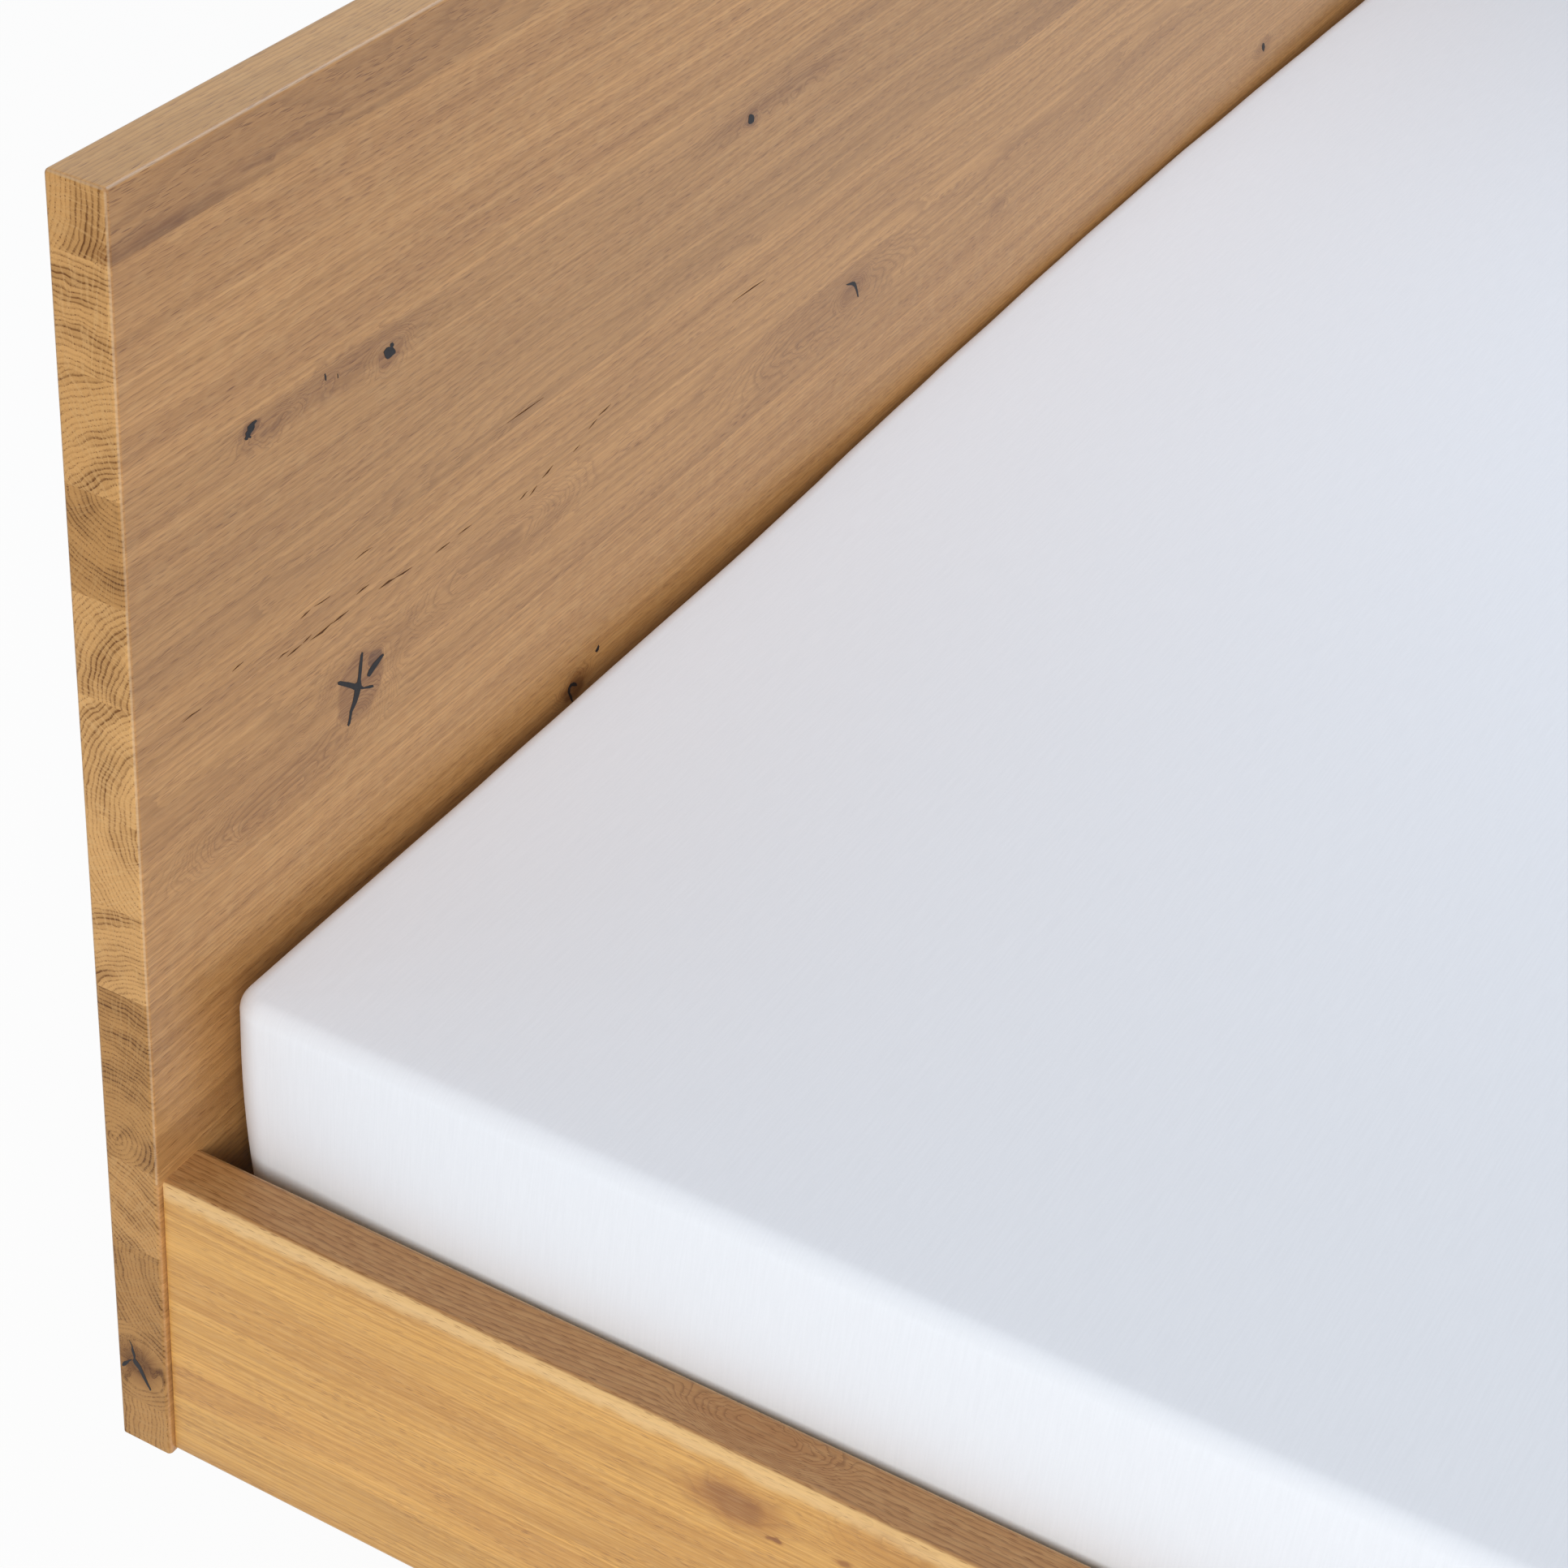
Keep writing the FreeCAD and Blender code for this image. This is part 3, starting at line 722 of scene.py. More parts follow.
    @cached_property
    def toned(self) -> Socket:
        """Gives each stave its own tone.

        Returns:
            The colour times the tones, which come halved. Darker end grain is also deeper.
        """
        add = self.add
        whole = add("Math", [self.staves[1], 2.0], operation="MULTIPLY")
        root = add("Math", [whole, 0.5], operation="POWER")
        face = add("Math", [add("SeparateColor", [self.staves[0]]), 2.0], operation="MULTIPLY")
        scale = add("Mix", {0: self.end, 2: face, 3: root}, data_type="FLOAT")
        deep = add("Math", [whole, -0.45, 1.45], operation="MULTIPLY_ADD")
        depth = add("Mix", {0: self.end, 2: 1.0, 3: deep}, data_type="FLOAT")
        scaled = add("VectorMath", {0: self.colour, "Scale": scale}, operation="SCALE")
        return add("Gamma", [scaled, depth])


@dataclass(frozen=True)
class Bow:
    """How a laminated slat rises to its middle, in metres, left and right of x = 0."""

    middle: float
    half: float
    low: float
    rise: float = 0.012


@dataclass(frozen=True)
class PlanedBeech(Finish):
    """Steamed beech, planed: a pinkish tan, closely covered with short brown flecks.

    Where it is laminated, thin glue lines a veneer apart follow the slats' bow.
    """

    grain: Axis = Axis.Y
    bow: Bow | None = None
    veneer: float = 1.3
    streak: tuple[float, float] = (180.0, 5.0)
    fleck: tuple[float, float] = (4.0, 0.5)
    light: str = "#D9B98F"
    dark: str = "#C29E72"
    fleck_colour: str = "#9C7449"
    glue: str = "#A98A62"

    def surface(self, add: Add) -> Inputs:
        """Adds the beech's streaks and flecks, and its glue lines where it is laminated.

        Args:
            add: adds a node to the material's tree.

        Returns:
            What goes into the shader's inputs, by their names.
        """
        place = add("TexCoord").node.outputs["Object"]
        runs = []
        for long, wide in (self.streak, self.fleck):
            scale = [1 / ((long if along else wide) * MM) for along in self.grain.value]
            runs.append(add("VectorMath", [place, scale], operation="MULTIPLY"))
        streak = add("TexNoise", {"Vector": runs[0], "Scale": 1.0, "Detail": 3.0})
        wood = add("Mix", {0: streak, 6: self.light, 7: self.dark}, data_type="RGBA")
        spots = add("TexVoronoi", {"Vector": runs[1], "Scale": 1.0})
        span = {"Value": spots, "From Min": 0.1, "From Max": 0.35, "To Min": 0.55, "To Max": 0.0}
        colour = add("Mix", {0: add("MapRange", span), 6: wood, 7: self.fleck_colour}, data_type="RGBA")
        if self.bow:
            line = self.glue_lines(add, place, self.bow)
            colour = add("Mix", {0: line, 6: colour, 7: self.glue}, data_type="RGBA")
        bump = add("Bump", {"Strength": 0.2, "Distance": 0.05 * MM, "Height": streak})
        return {"Base Color": colour, "Roughness": 0.42, "IOR": 1.5, "Normal": bump}

    def glue_lines(self, add: Add, place: Socket, bow: Bow) -> Socket:
        """Adds the glue lines between the veneers.

        Args:
            add: adds a node to the material's tree.
            place: the point's place, in metres.
            bow: how the slats rise.

        Returns:
            1 in a line, and else 0.
        """
        veneer = self.veneer * MM
        side, _, up = add("SeparateXYZ", [place]).node.outputs
        out = add("Math", [side], operation="ABSOLUTE")
        span = add("Math", [out, 1 / bow.half, -bow.middle / bow.half], operation="MULTIPLY_ADD")
        bent = add("Math", [span, span], operation="MULTIPLY")
        level = add("Math", [bent, bow.rise, up], operation="MULTIPLY_ADD")
        count = [level, 1 / veneer, 0.15 - (bow.low + bow.rise) / veneer]
        share = add("Math", [add("Math", count, operation="MULTIPLY_ADD")], operation="FRACT")
        return add("MapRange", {"Value": share, "From Min": 0.8, "From Max": 0.95, "To Max": 0.6})


@dataclass(frozen=True)
class PlywoodEdge(Finish):
    """Birch plywood rails: thin plies in turn pale and brownish, seen on top and below."""

    across: Axis = Axis.X
    ply: float = 1.5
    fibre: tuple[float, float] = (60.0, 1.2)
    pale: str = "#DCC39A"
    brown: str = "#B9935F"

    def surface(self, add: Add) -> Inputs:
        """Adds the plies and their fibres.

        Args:
            add: adds a node to the material's tree.

        Returns:
            What goes into the shader's inputs, by their names.
        """
        place = add("TexCoord").node.outputs["Object"]
        depth = add("VectorMath", [place, self.across.value], operation="DOT_PRODUCT")
        plies = add("Math", [depth, math.pi / (self.ply * MM)], operation="MULTIPLY")
        wave = add("Math", [plies], operation="SINE")
        layer = add("MapRange", {"Value": wave, "From Min": -0.3, "From Max": 0.3})
        fibres = [1 / (self.fibre[int(share)] * MM) for share in self.across.value]
        long_place = add("VectorMath", [place, fibres], operation="MULTIPLY")
        cloud = add("TexNoise", {"Vector": long_place, "Scale": 3.0, "Detail": 3.0})
        share = add("Math", [layer, cloud], operation="MULTIPLY")
        colour = add("Mix", {0: share, 6: self.pale, 7: self.brown}, data_type="RGBA")
        bump = add("Bump", {"Strength": 0.25, "Distance": 0.08 * MM, "Height": cloud})
        return {"Base Color": colour, "Roughness": 0.5, "IOR": 1.5, "Normal": bump}


@dataclass(frozen=True)
class GrainySurface(Finish):
    """A plain material with a fine even grain: paint, plating, rubber, felt or hard filler."""

    colour: str = "#808080"
    second: str = "#707070"
    metallic: float = 0.0
    roughness: float = 0.5
    ior: float = 1.5
    grain: float = 0.8
    relief: float = 0.05
    sheen: float = 0.0
    gloss: float = 0.5

    def surface(self, add: Add) -> Inputs:
        """Adds two close shades in a pattern of the grain's size, with its relief.

        Args:
            add: adds a node to the material's tree.

        Returns:
            What goes into the shader's inputs, by their names.
        """
        place = add("TexCoord").node.outputs["Object"]
        pattern = add("TexNoise", {"Vector": place, "Scale": 1 / (self.grain * MM), "Detail": 3.0})
        share = add("MapRange", {"Value": pattern, "From Min": 0.38, "From Max": 0.62})
        colour = add("Mix", {0: share, 6: self.colour, 7: self.second}, data_type="RGBA")
        return {
            "Base Color": colour,
            "Metallic": self.metallic,
            "Roughness": self.roughness,
            "IOR": self.ior,
            "Sheen Weight": self.sheen,
            "Specular IOR Level": self.gloss,
            "Normal": add("Bump", {"Strength": 0.5, "Distance": self.relief * MM, "Height": pattern}),
        }


@dataclass(frozen=True)
class BrushedJersey(Finish):
    """Cotton jersey, brushed on its face.

    The eye sees fine wales that run across the bed and down its sides, and a soft bloom of short
    fibres that lightens the cloth where it turns away. The real wales are 0.7 mm apart, too fine
    to show from here, so they are drawn 1.1 mm apart.
    """

    colour: str = "#E4E7EC"
    shade: str = "#E1E4E9"
    wale: float = 1.1
    wale_length: float = 28.0
    fuzz_size: float = 1.6

    def surface(self, add: Add) -> Inputs:
        """Adds the wales, which turn down at the sides and ends, and the fuzz.

        Args:
            add: adds a node to the material's tree.

        Returns:
            What goes into the shader's inputs, by their names.
        """
        place = add("TexCoord").node.outputs
        x, y, z = add("SeparateXYZ", [place["Object"]]).node.outputs
        facing = add("SeparateXYZ", [place["Normal"]]).node.outputs["Y"]
        size = add("Math", [facing], operation="ABSOLUTE")
        at_end = add("MapRange", {"Value": size, "From Min": 0.6, "From Max": 0.8})
        across = add("Mix", {0: at_end, 2: y, 3: z}, data_type="FLOAT")
        run = add("Math", [x, z], operation="ADD")
        scale = (1 / (self.wale_length * MM), 1 / (self.wale * MM), 0.0)
        scaled = add("VectorMath", [add("CombineXYZ", [run, across]), scale], operation="MULTIPLY")
        wales = add("TexNoise", {"Vector": scaled, "Scale": 1.0, "Detail": 2.0}, noise_dimensions="2D")
        fuzz = add("TexNoise", {"Vector": place["Object"], "Scale": 1 / (self.fuzz_size * MM), "Detail": 3.0})
        both = add("Math", [fuzz, 0.5, wales], operation="MULTIPLY_ADD")
        share = add("MapRange", {"Value": both, "From Min": 0.5, "From Max": 1.0})
        return {
            "Base Color": add("Mix", {0: share, 6: self.shade, 7: self.colour}, data_type="RGBA"),
            "Roughness": 0.9,
            "IOR": 1.5,
            "Specular IOR Level": 0.2,
            "Sheen Weight": 0.12,
            "Sheen Roughness": 0.45,
            "Normal": add("Bump", {"Strength": 0.07, "Distance": 0.1 * MM, "Height": both}),
        }


@dataclass(frozen=True)
class MattressTicking(Finish):
    """Knitted ticking in off-white, with a small woven-in lozenge, as on plain mattresses."""

    colour: str = "#E4E2DC"
    shade: str = "#CFCCC3"
    lozenge: float = 9.0

    def surface(self, add: Add) -> Inputs:
        """Adds the lozenges, which also stand out a little.

        Args:
            add: adds a node to the material's tree.

        Returns:
            What goes into the shader's inputs, by their names.
        """
        place = add("TexCoord").node.outputs["Object"]
        scaled = add("VectorMath", {0: place, "Scale": math.tau / (self.lozenge * MM)}, operation="SCALE")
        waves = add("VectorMath", [scaled], operation="SINE")
        x, y, _ = add("SeparateXYZ", [waves]).node.outputs
        level = add("Math", [x, y], operation="ADD")
        share = add("MapRange", {"Value": level, "From Min": -0.5, "From Max": 0.5})
        colour = add("Mix", {0: share, 6: self.shade, 7: self.colour}, data_type="RGBA")
        bump = add("Bump", {"Strength": 0.4, "Distance": 0.3 * MM, "Height": share})
        return {"Base Color": colour, "Roughness": 0.85, "IOR": 1.5, "Sheen Weight": 0.1, "Normal": bump}


# Black two-part filler, levelled off: it shows as a smooth near-black fill in cracks and knots.
FILLER = GrainySurface("black_filler", "#141316", "#1C1B1E", roughness=0.5, grain=1.5, relief=0.03, gloss=0.3)
# A dry crack that took up dirt and oil shows as a thin dark brown line.
OPEN_CRACK = GrainySurface(
    "open_crack", "#4A2C16", "#5E3C20", roughness=0.8, grain=0.8, relief=0.03, gloss=0.2
)
# Zinc plating gives bright grey steel a faint cloudy pattern.
ZINC = GrainySurface("zinc_plated_steel", "#B9BCC0", "#A4A8AE", 1.0, 0.34, grain=3.0, relief=0.02)
# Powder coat on steel is nearly black, with a fine orange-peel surface.
POWDER_COAT = GrainySurface("black_powder_coat", "#1C1D1F", "#17181A", roughness=0.45, grain=0.9, relief=0.08)
# Moulded thermoplastic rubber is matt dark grey with a spark-eroded grain.
RUBBER = GrainySurface(
    "moulded_rubber", "#2B2B2D", "#242426", roughness=0.7, ior=1.52, grain=0.5, relief=0.04
)
# Pressed wool felt is a matt brownish grey with a soft nap.
FELT = GrainySurface(
    "pressed_wool_felt", "#5A5049", "#463E38", roughness=0.95, grain=1.2, relief=0.3, sheen=0.4
)
# The sheet and its elastic hem are cut from the same cloth.
JERSEY = BrushedJersey("brushed_cotton_jersey")


@dataclass(frozen=True)
class Inlay:
    """Crack filler in a board's face, levelled a hair above the wood.

    Each outline is a closed line of places on the face, in millimetres along and up the board.
    """

    name: str
    outlines: tuple[Outline, ...]
    finish: GrainySurface = FILLER
    proud: float = 0.12
    sunk: float = 0.6

    def build(self, place: Callable[[float, float, float], Point]) -> Piece:
        """Builds the filler of one crack or knot.

        Args:
            place: turns a place along and up the board, and a height over its face, into a point.

        Returns:
            The inlay.
        """
        mesh = bmesh.new()
        for outline in self.outlines:
            loft(mesh, [[place(*spot, height) for spot in outline] for height in (-self.sunk, self.proud)])
        return make_piece(self.name, mesh, self.finish, "bed_frame", smooth=False)


@dataclass
class Headboard:
    """Twelve oak staves edge-glued into the headboard, with filled knots and cracks.

    The places of the staves' piths are a depth behind the back face and a level, and after them
    stand the face's tone and the end grain's.
    """

    glue_levels: tuple[float, ...] = (32, 89, 147, 207, 320, 375, 497, 554, 610, 672, 728, 765)
    pith_places: tuple[tuple[float, float, float, float], ...] = (
        (-120, 16, 0.97, 0.63),
        (14, 60, 0.94, 0.57),
        (85, 145, 0.99, 0.56),
        (-30, 110, 1.02, 0.72),
        (8, 223, 1.0, 0.59),
        (33, 300, 1.03, 0.85),
        (85, 432, 1.0, 0.9),
        (70, 500, 0.9, 0.83),
        (30, 618, 0.91, 0.59),
        (62, 560, 0.99, 0.79),
        (14, 600, 0.97, 0.81),
        (-62, 762, 0.87, 0.73),
    )
    knots: tuple[Knot, ...] = (
        Knot((181, 33, 414), (22, 400, 24), 0.58, 14.0, 0.8),
        Knot((194, 33, 423), (10, 400, 9), 0.8, 4.0, 0.5),
        Knot((168, 33, 405), (8, 400, 8), 0.6, 4.0, 0.5),
        Knot((181, 33, 412), (48, 400, 42), 0.14, 22.0),
        Knot((110, 33, 392), (110, 400, 30), 0.25, 40.0),
        Knot((300, 33, 430), (120, 400, 26), 0.15, 36.0),
        Knot((10, 33, 734), (100, 12, 9), 0.52, 2.0),
        Knot((120, 33, 739), (120, 400, 4), 0.35, 2.0),
        Knot((207, 33, 597), (11, 400, 8), 0.55, 5.0, 0.7),
        Knot((207, 33, 597), (26, 400, 15), 0.3, 12.0),
        Knot((157, 33, 605), (9, 400, 7), 0.5, 4.0),
        Knot((160, 33, 605), (120, 400, 13), 0.35, 8.0),
        Knot((95, 33, 606), (10, 400, 6), 0.7, 5.0, 0.6),
        Knot((110, 33, 601), (34, 400, 12), 0.4, 12.0),
        Knot((568, 33, 587), (14, 400, 9), 0.6, 8.0, 0.6),
        Knot((600, 33, 590), (130, 400, 14), 0.35, 8.0),
        Knot((722, 33, 414), (30, 400, 18), 0.6, 16.0),
        Knot((690, 33, 410), (150, 400, 28), 0.3, 20.0),
        Knot((398, 33, 289), (26, 400, 15), 0.75, 16.0),
        Knot((1445, 33, 325), (24, 400, 12), 0.45, 12.0),
        Knot((940, 33, 383), (22, 400, 10), 0.35, 10.0),
        Knot((0, 13, 62), (200, 22, 22), 0.7, 12.0),
    )
    front_inlays: tuple[Inlay, ...] = (
        Inlay("filler_star_knot", (
            ((182.9, 432.8), (184, 431.7), (183.1, 423.5), (181.9, 416.1), (182.6, 412), (184.4, 410),
             (189.7, 408.1), (192.7, 406.8), (193.6, 404.9), (189.7, 406.2), (184, 409.1),
             (181.7, 410.3), (180.8, 407.9), (178.2, 403.7), (174.3, 400.3), (172.5, 394.1),
             (171.1, 392.8), (169.7, 394.4), (171.3, 398), (171.8, 401.7), (174.3, 405.9), (175.7, 410),
             (176.2, 412.6), (173.7, 415.1), (167, 420.3), (161.8, 424.3), (161.4, 426.1),
             (163.6, 425.6), (171.5, 420.4), (176.7, 416.5), (178.5, 416.4), (179.4, 419.1),
             (180.1, 425.1), (181.7, 431.4)),
            ((187.4, 416.2), (189, 418.2), (193.2, 420.2), (198.9, 421.3), (202, 421.3), (202.7, 419.9),
             (198.9, 417.8), (194.3, 415.5), (189.9, 413.5), (187.9, 414.7)),
        )),
        Inlay("filler_long_crack", (
            ((89.3, 603.3), (90.5, 604.2), (90.3, 606), (91.9, 606.9), (91.9, 608.6), (94.4, 609.2),
             (95.9, 609.5), (98.3, 609.5), (99.5, 608.3), (98.3, 608), (97.3, 607.5), (97.5, 606),
             (96.4, 604.8), (94.7, 604.2), (93.7, 603.2), (94.8, 602.1), (94.1, 601.6), (92.2, 602.7),
             (92, 601.8), (90.4, 602.2)),
        )),
        Inlay("filler_round_knot", (
            ((202.4, 599.5), (204, 600.2), (206.2, 599.8), (207.4, 599), (207, 600.3), (207.5, 601.1),
             (209.2, 600.9), (210.5, 599.5), (210.3, 598.5), (209.4, 598.3), (210.7, 596.8),
             (212, 594.9), (211.7, 593.8), (209.5, 593.6), (207.3, 593.2), (205.2, 593.3),
             (203.5, 594.6), (202.4, 596.7), (201.6, 598.8)),
        )),
        Inlay("filler_small_pair", (
            ((152.5, 609.1), (153.3, 608.9), (154.1, 607), (154.1, 604.6), (153.1, 605.2),
             (152.7, 607)),
            ((163, 604.4), (163.6, 604.2), (163.9, 601.8), (163.3, 601.7)),
        )),
        Inlay("filler_oval_knot", (
            ((563.7, 585.7), (563.8, 589.2), (564.9, 590.2), (567.2, 589.5), (569.6, 588),
             (570.8, 585.8), (570.5, 583.5), (568.1, 583.3), (565.8, 583.7), (564.4, 584.8)),
        )),
        Inlay("filler_hook_knot", (
            ((711.8, 419.8), (716.3, 418.8), (720.8, 417.9), (723.9, 416.7), (725.7, 414.8),
             (727.7, 411.7), (730, 407.3), (731.8, 402.8), (730.8, 402.6), (729.9, 403.6),
             (727.8, 407.5), (725.7, 410.6), (724.3, 412.4), (722.1, 414.4), (719, 416.2),
             (715.1, 417.7), (712.4, 419)),
        )),
        Inlay("filler_shaded_knot", (
            ((390.6, 289.1), (391, 291.9), (393.1, 293.7), (396.9, 292.8), (399.9, 290.5), (401, 288),
             (398.1, 289.3), (395.1, 291.1), (393.3, 290.6), (393.1, 287.6), (395.3, 284),
             (396.9, 278.7), (395.1, 280.4), (392.8, 284.8)),
            ((419.9, 301.7), (421.7, 303.2), (423.5, 304.6), (424.6, 302.8), (424, 300.7), (422, 300)),
        )),
        Inlay("filler_far_knot", (
            ((1442, 329), (1446, 327), (1449, 323), (1448, 319), (1444, 322), (1441, 326)),
        )),
        Inlay("open_checks", (
            ((138.2, 464.4), (148.7, 463.1), (157.7, 464.9), (148.6, 464.5)),
            ((156.6, 464.3), (164.1, 463.8), (171.6, 464.4), (164.1, 465)),
            ((119, 465.3), (125.2, 465.1), (131.4, 465.9), (125.2, 466.1)),
            ((111.9, 467.8), (116, 468.1), (121.1, 467.9), (116, 468.8)),
            ((132.5, 466), (135.7, 466.1), (139.8, 467.2), (135.5, 466.9)),
            ((130.7, 481.4), (134.9, 481.6), (139, 482.4), (134.8, 482.5)),
            ((142.1, 482.5), (148.4, 481.4), (155.8, 481.5), (148.4, 482.1)),
            ((178.1, 470.3), (183.5, 470.3), (189.5, 470.6), (183.5, 471.3)),
            ((197.7, 463.2), (206.5, 462.4), (213.3, 462.2), (206.6, 463.8)),
            ((212.2, 462.4), (219.9, 460.8), (227.9, 461), (220.1, 461.9)),
            ((249.7, 458.1), (256, 457.8), (263, 458.1), (256, 458.7)),
            ((271.2, 458.6), (277.1, 458.3), (283.6, 458.4), (277.1, 459)),
            ((331.2, 450.1), (335, 450.6), (338.5, 452), (334.7, 451.5)),
            ((341.2, 447.9), (345.1, 448.7), (348.6, 450.9), (344.7, 449.7)),
            ((353.5, 452.9), (359.3, 453.5), (364.7, 456.1), (358.9, 454.7)),
            ((385.3, 454.1), (388.5, 454.6), (392.3, 455.5), (388.4, 455.3)),
            ((401, 461.3), (405.5, 462.3), (409.9, 463.8), (405.3, 463.1)),
            ((411.1, 465.2), (417.7, 465.2), (424.2, 466.7), (417.6, 466.2)),
            ((75.3, 481), (79.3, 481.3), (84.2, 481.8), (79.2, 482.1)),
            ((177.1, 491.6), (184.6, 491.8), (192.2, 491.5), (184.6, 492.4)),
            ((36.3, 473.8), (43, 473.8), (50.7, 473.4), (43, 474.5)),
            ((560, 472.2), (585, 471.8), (600, 470.4), (584, 470.9)),
            ((316, 505.2), (334, 505.1), (352, 504.2), (334, 504.3)),
        ), finish=OPEN_CRACK),
    )
    end_inlay: Inlay = Inlay("filler_end_star", (
        ((8.4, 77.2), (9.7, 75.8), (10.8, 73.6), (11.1, 71.8), (11.7, 69.6), (12.4, 67.1), (12.1, 64.6),
         (13.7, 63.2), (15.6, 60.9), (17.9, 55.8), (20.1, 50.2), (22, 46), (21.2, 44.9), (19, 48.4),
         (16.2, 53.1), (13.9, 57.6), (12, 59.4), (10.9, 60.4), (10.2, 62.4), (11.1, 64.3), (10.8, 66.4),
         (10, 68.6), (9.8, 71.1), (10.1, 73.1), (9.2, 75.1)),
        ((2.7, 55.2), (3.8, 57.6), (6.5, 60), (8.6, 62.1), (10, 62.5), (8, 60.2), (7.1, 58.3),
         (5.2, 55.5), (3.4, 53.9), (2.6, 54)),
    ))

    def build(self) -> None:
        """Dresses the staves and fills the knots."""
        nodes = [f"headboard_stave_{index:02d}" for index in range(1, len(self.glue_levels) + 1)]
        low, high = box_of(*nodes)
        extent = (high - low) / MM
        staves = [
            Stave(level / extent.z, *values) for level, values in zip(self.glue_levels, self.pith_places)
        ]
        oak = SolidOak(
            "oiled_oak_headboard",
            axes=BoardAxes((low.x, high.y, low.z), (1, 0, 0), (0, -1, 0), (0, 0, 1)),
            extent=tuple(extent),
            staves=tuple(staves),
            knots=self.knots,
            top_tint="#E0AE6C",
            top_share=0.38,
            # The painted edge highlight stops at the rail's top, because beside the rail the edge lies in the
            # rail's shade.
            arris_level=203.0,
        )
        dress(oak.material(), *nodes)
        left, front, back, bottom = low.x / MM, low.y / MM, high.y / MM, low.z / MM
        for inlay in self.front_inlays:
            inlay.build(lambda along, level, over: (left + along, front - over, bottom + level))
        self.end_inlay.build(lambda along, level, over: (left - over, back - along, bottom + level))


@dataclass
class Rails:
    """The side rails and the foot rail, from the same oak but more golden."""

    stave_tops: tuple[float, ...] = (0.22, 0.41, 0.74, 1.0)
    pith_places: tuple[tuple[float, float, float], ...] = (
        (-70, 30, 0.92), (110, 70, 1.03), (-90, 100, 0.985), (96, 150, 0.965)
    )
    side_knots: tuple[Knot, ...] = (
        Knot((345, 14, 201), (60, 18, 12), 0.3, 26.0),
        Knot((343, 34, 168), (42, 22, 22), 0.72, 5.0),
        Knot((366, 34, 155), (6, 8, 3), 0.8, 0.0, 0.4),
        Knot((404, 34, 163), (9, 8, 3.5), 0.7, 0.0, 0.4),
        Knot((430, 34, 180), (60, 20, 24), 0.3, 12.0),
        Knot((1250, 34, 60), (40, 30, 18), 0.7, 14.0),
    )

    def build(self) -> None:
        """Dresses the three rails, each along its own axes."""
        staves = tuple(Stave(top, *values) for top, values in zip(self.stave_tops, self.pith_places))
        for name, node, along, through in (
            ("left", "side_rail_left", (0, -1, 0), (-1, 0, 0)),
            ("right", "side_rail_right", (0, -1, 0), (1, 0, 0)),
            ("foot", "foot_rail", (1, 0, 0), (0, -1, 0)),
        ):
            low, high = box_of(node)
            size = (high - low) / MM
            origin = (high.x if name == "left" else low.x, high.y, low.z)
            oak = SolidOak(
                f"oiled_oak_rail_{name}",
                axes=BoardAxes(origin, along, through, (0, 0, 1)),
                extent=(max(size.x, size.y), min(size.x, size.y), size.z),
                staves=staves,
                knots=self.side_knots,
                light="#E0AB5A",
                middle="#BB863D",
                dark="#A0682A",
                pore="#7A4A1C",
                ring="#6E431C",
                ray="#E2BB80",
                knot_tint="#96591B",
                knot_core="#7A4A20",
                top_tint="#A4713F",
                top_share=0.85,
                top_grain=0.45,
                # The pale band under the top edge is partly sapwood and partly painted highlight.
                sapwood_share=0.8,
                zone_depth=0.4,
                ring_depth=0.09,
                pore_width=0.7,
                pore_length=8.0,
                pore_share=0.45,
                streaks=(1 / 260.0, 1 / 3.0, 1 / 1.7),
                # A faint painted highlight along the rail's long edges.
                arris_share=0.2,
                arris_ways=("Y", "Z"),
                knot_rings=0.4,
                ripple=(0.0, 2.4, 2.4),
            )
            dress(oak.material(), node)


@dataclass
class Fasteners:
    """Countersunk wood screws with a six-lobed drive."""

    head_radius: float = 4.2
    rim: float = 0.35
    drive_radius: float = 1.9
    drive_depth: float = 1.1
    lobe: float = 0.22
    segments: int = 36

    def build(self, name: str, places: Iterable[Point], facing: Point) -> Piece:
        """Builds several screw heads as one piece of the frame.

        Args:
            name: the piece's name.
            places: each head's middle on the surface.
            facing: the way that they face.

        Returns:
            The screw heads.
        """
        mesh = bmesh.new()
        turn = Vector(facing).to_track_quat("Z", "Y").to_matrix()
        angles = [math.tau * index / self.segments for index in range(self.segments)]
        for place in places:
            rings = []
            for radius, height, lobe in self._profile():
                reaches = [radius * (1 + lobe * math.cos(6 * angle)) for angle in angles]
                spots = [(r * math.cos(a), r * math.sin(a), height) for r, a in zip(reaches, angles)]
                rings.append([Vector(place) + turn @ Vector(spot) for spot in spots])
            loft(mesh, rings)
        return make_piece(name, mesh, ZINC, "bed_frame", smooth=False)

    def _profile(self) -> list[Point]:
        """Draws a head's profile.

        Returns:
            Each ring's radius, height over the surface, and how deep its six lobes are.
        """
        radius = self.head_radius
        return [
            (radius * 0.7, -0.5, 0.0),
            (radius, 0.0, 0.0),
            (radius * 0.96, self.rim * 0.8, 0.0),
            (radius * 0.75, self.rim, 0.0),
            (self.drive_radius * 1.05, self.rim, self.lobe),
            (self.drive_radius, self.rim - 0.12, self.lobe),
            (self.drive_radius * 0.85, self.rim - self.drive_depth, self.lobe),
        ]


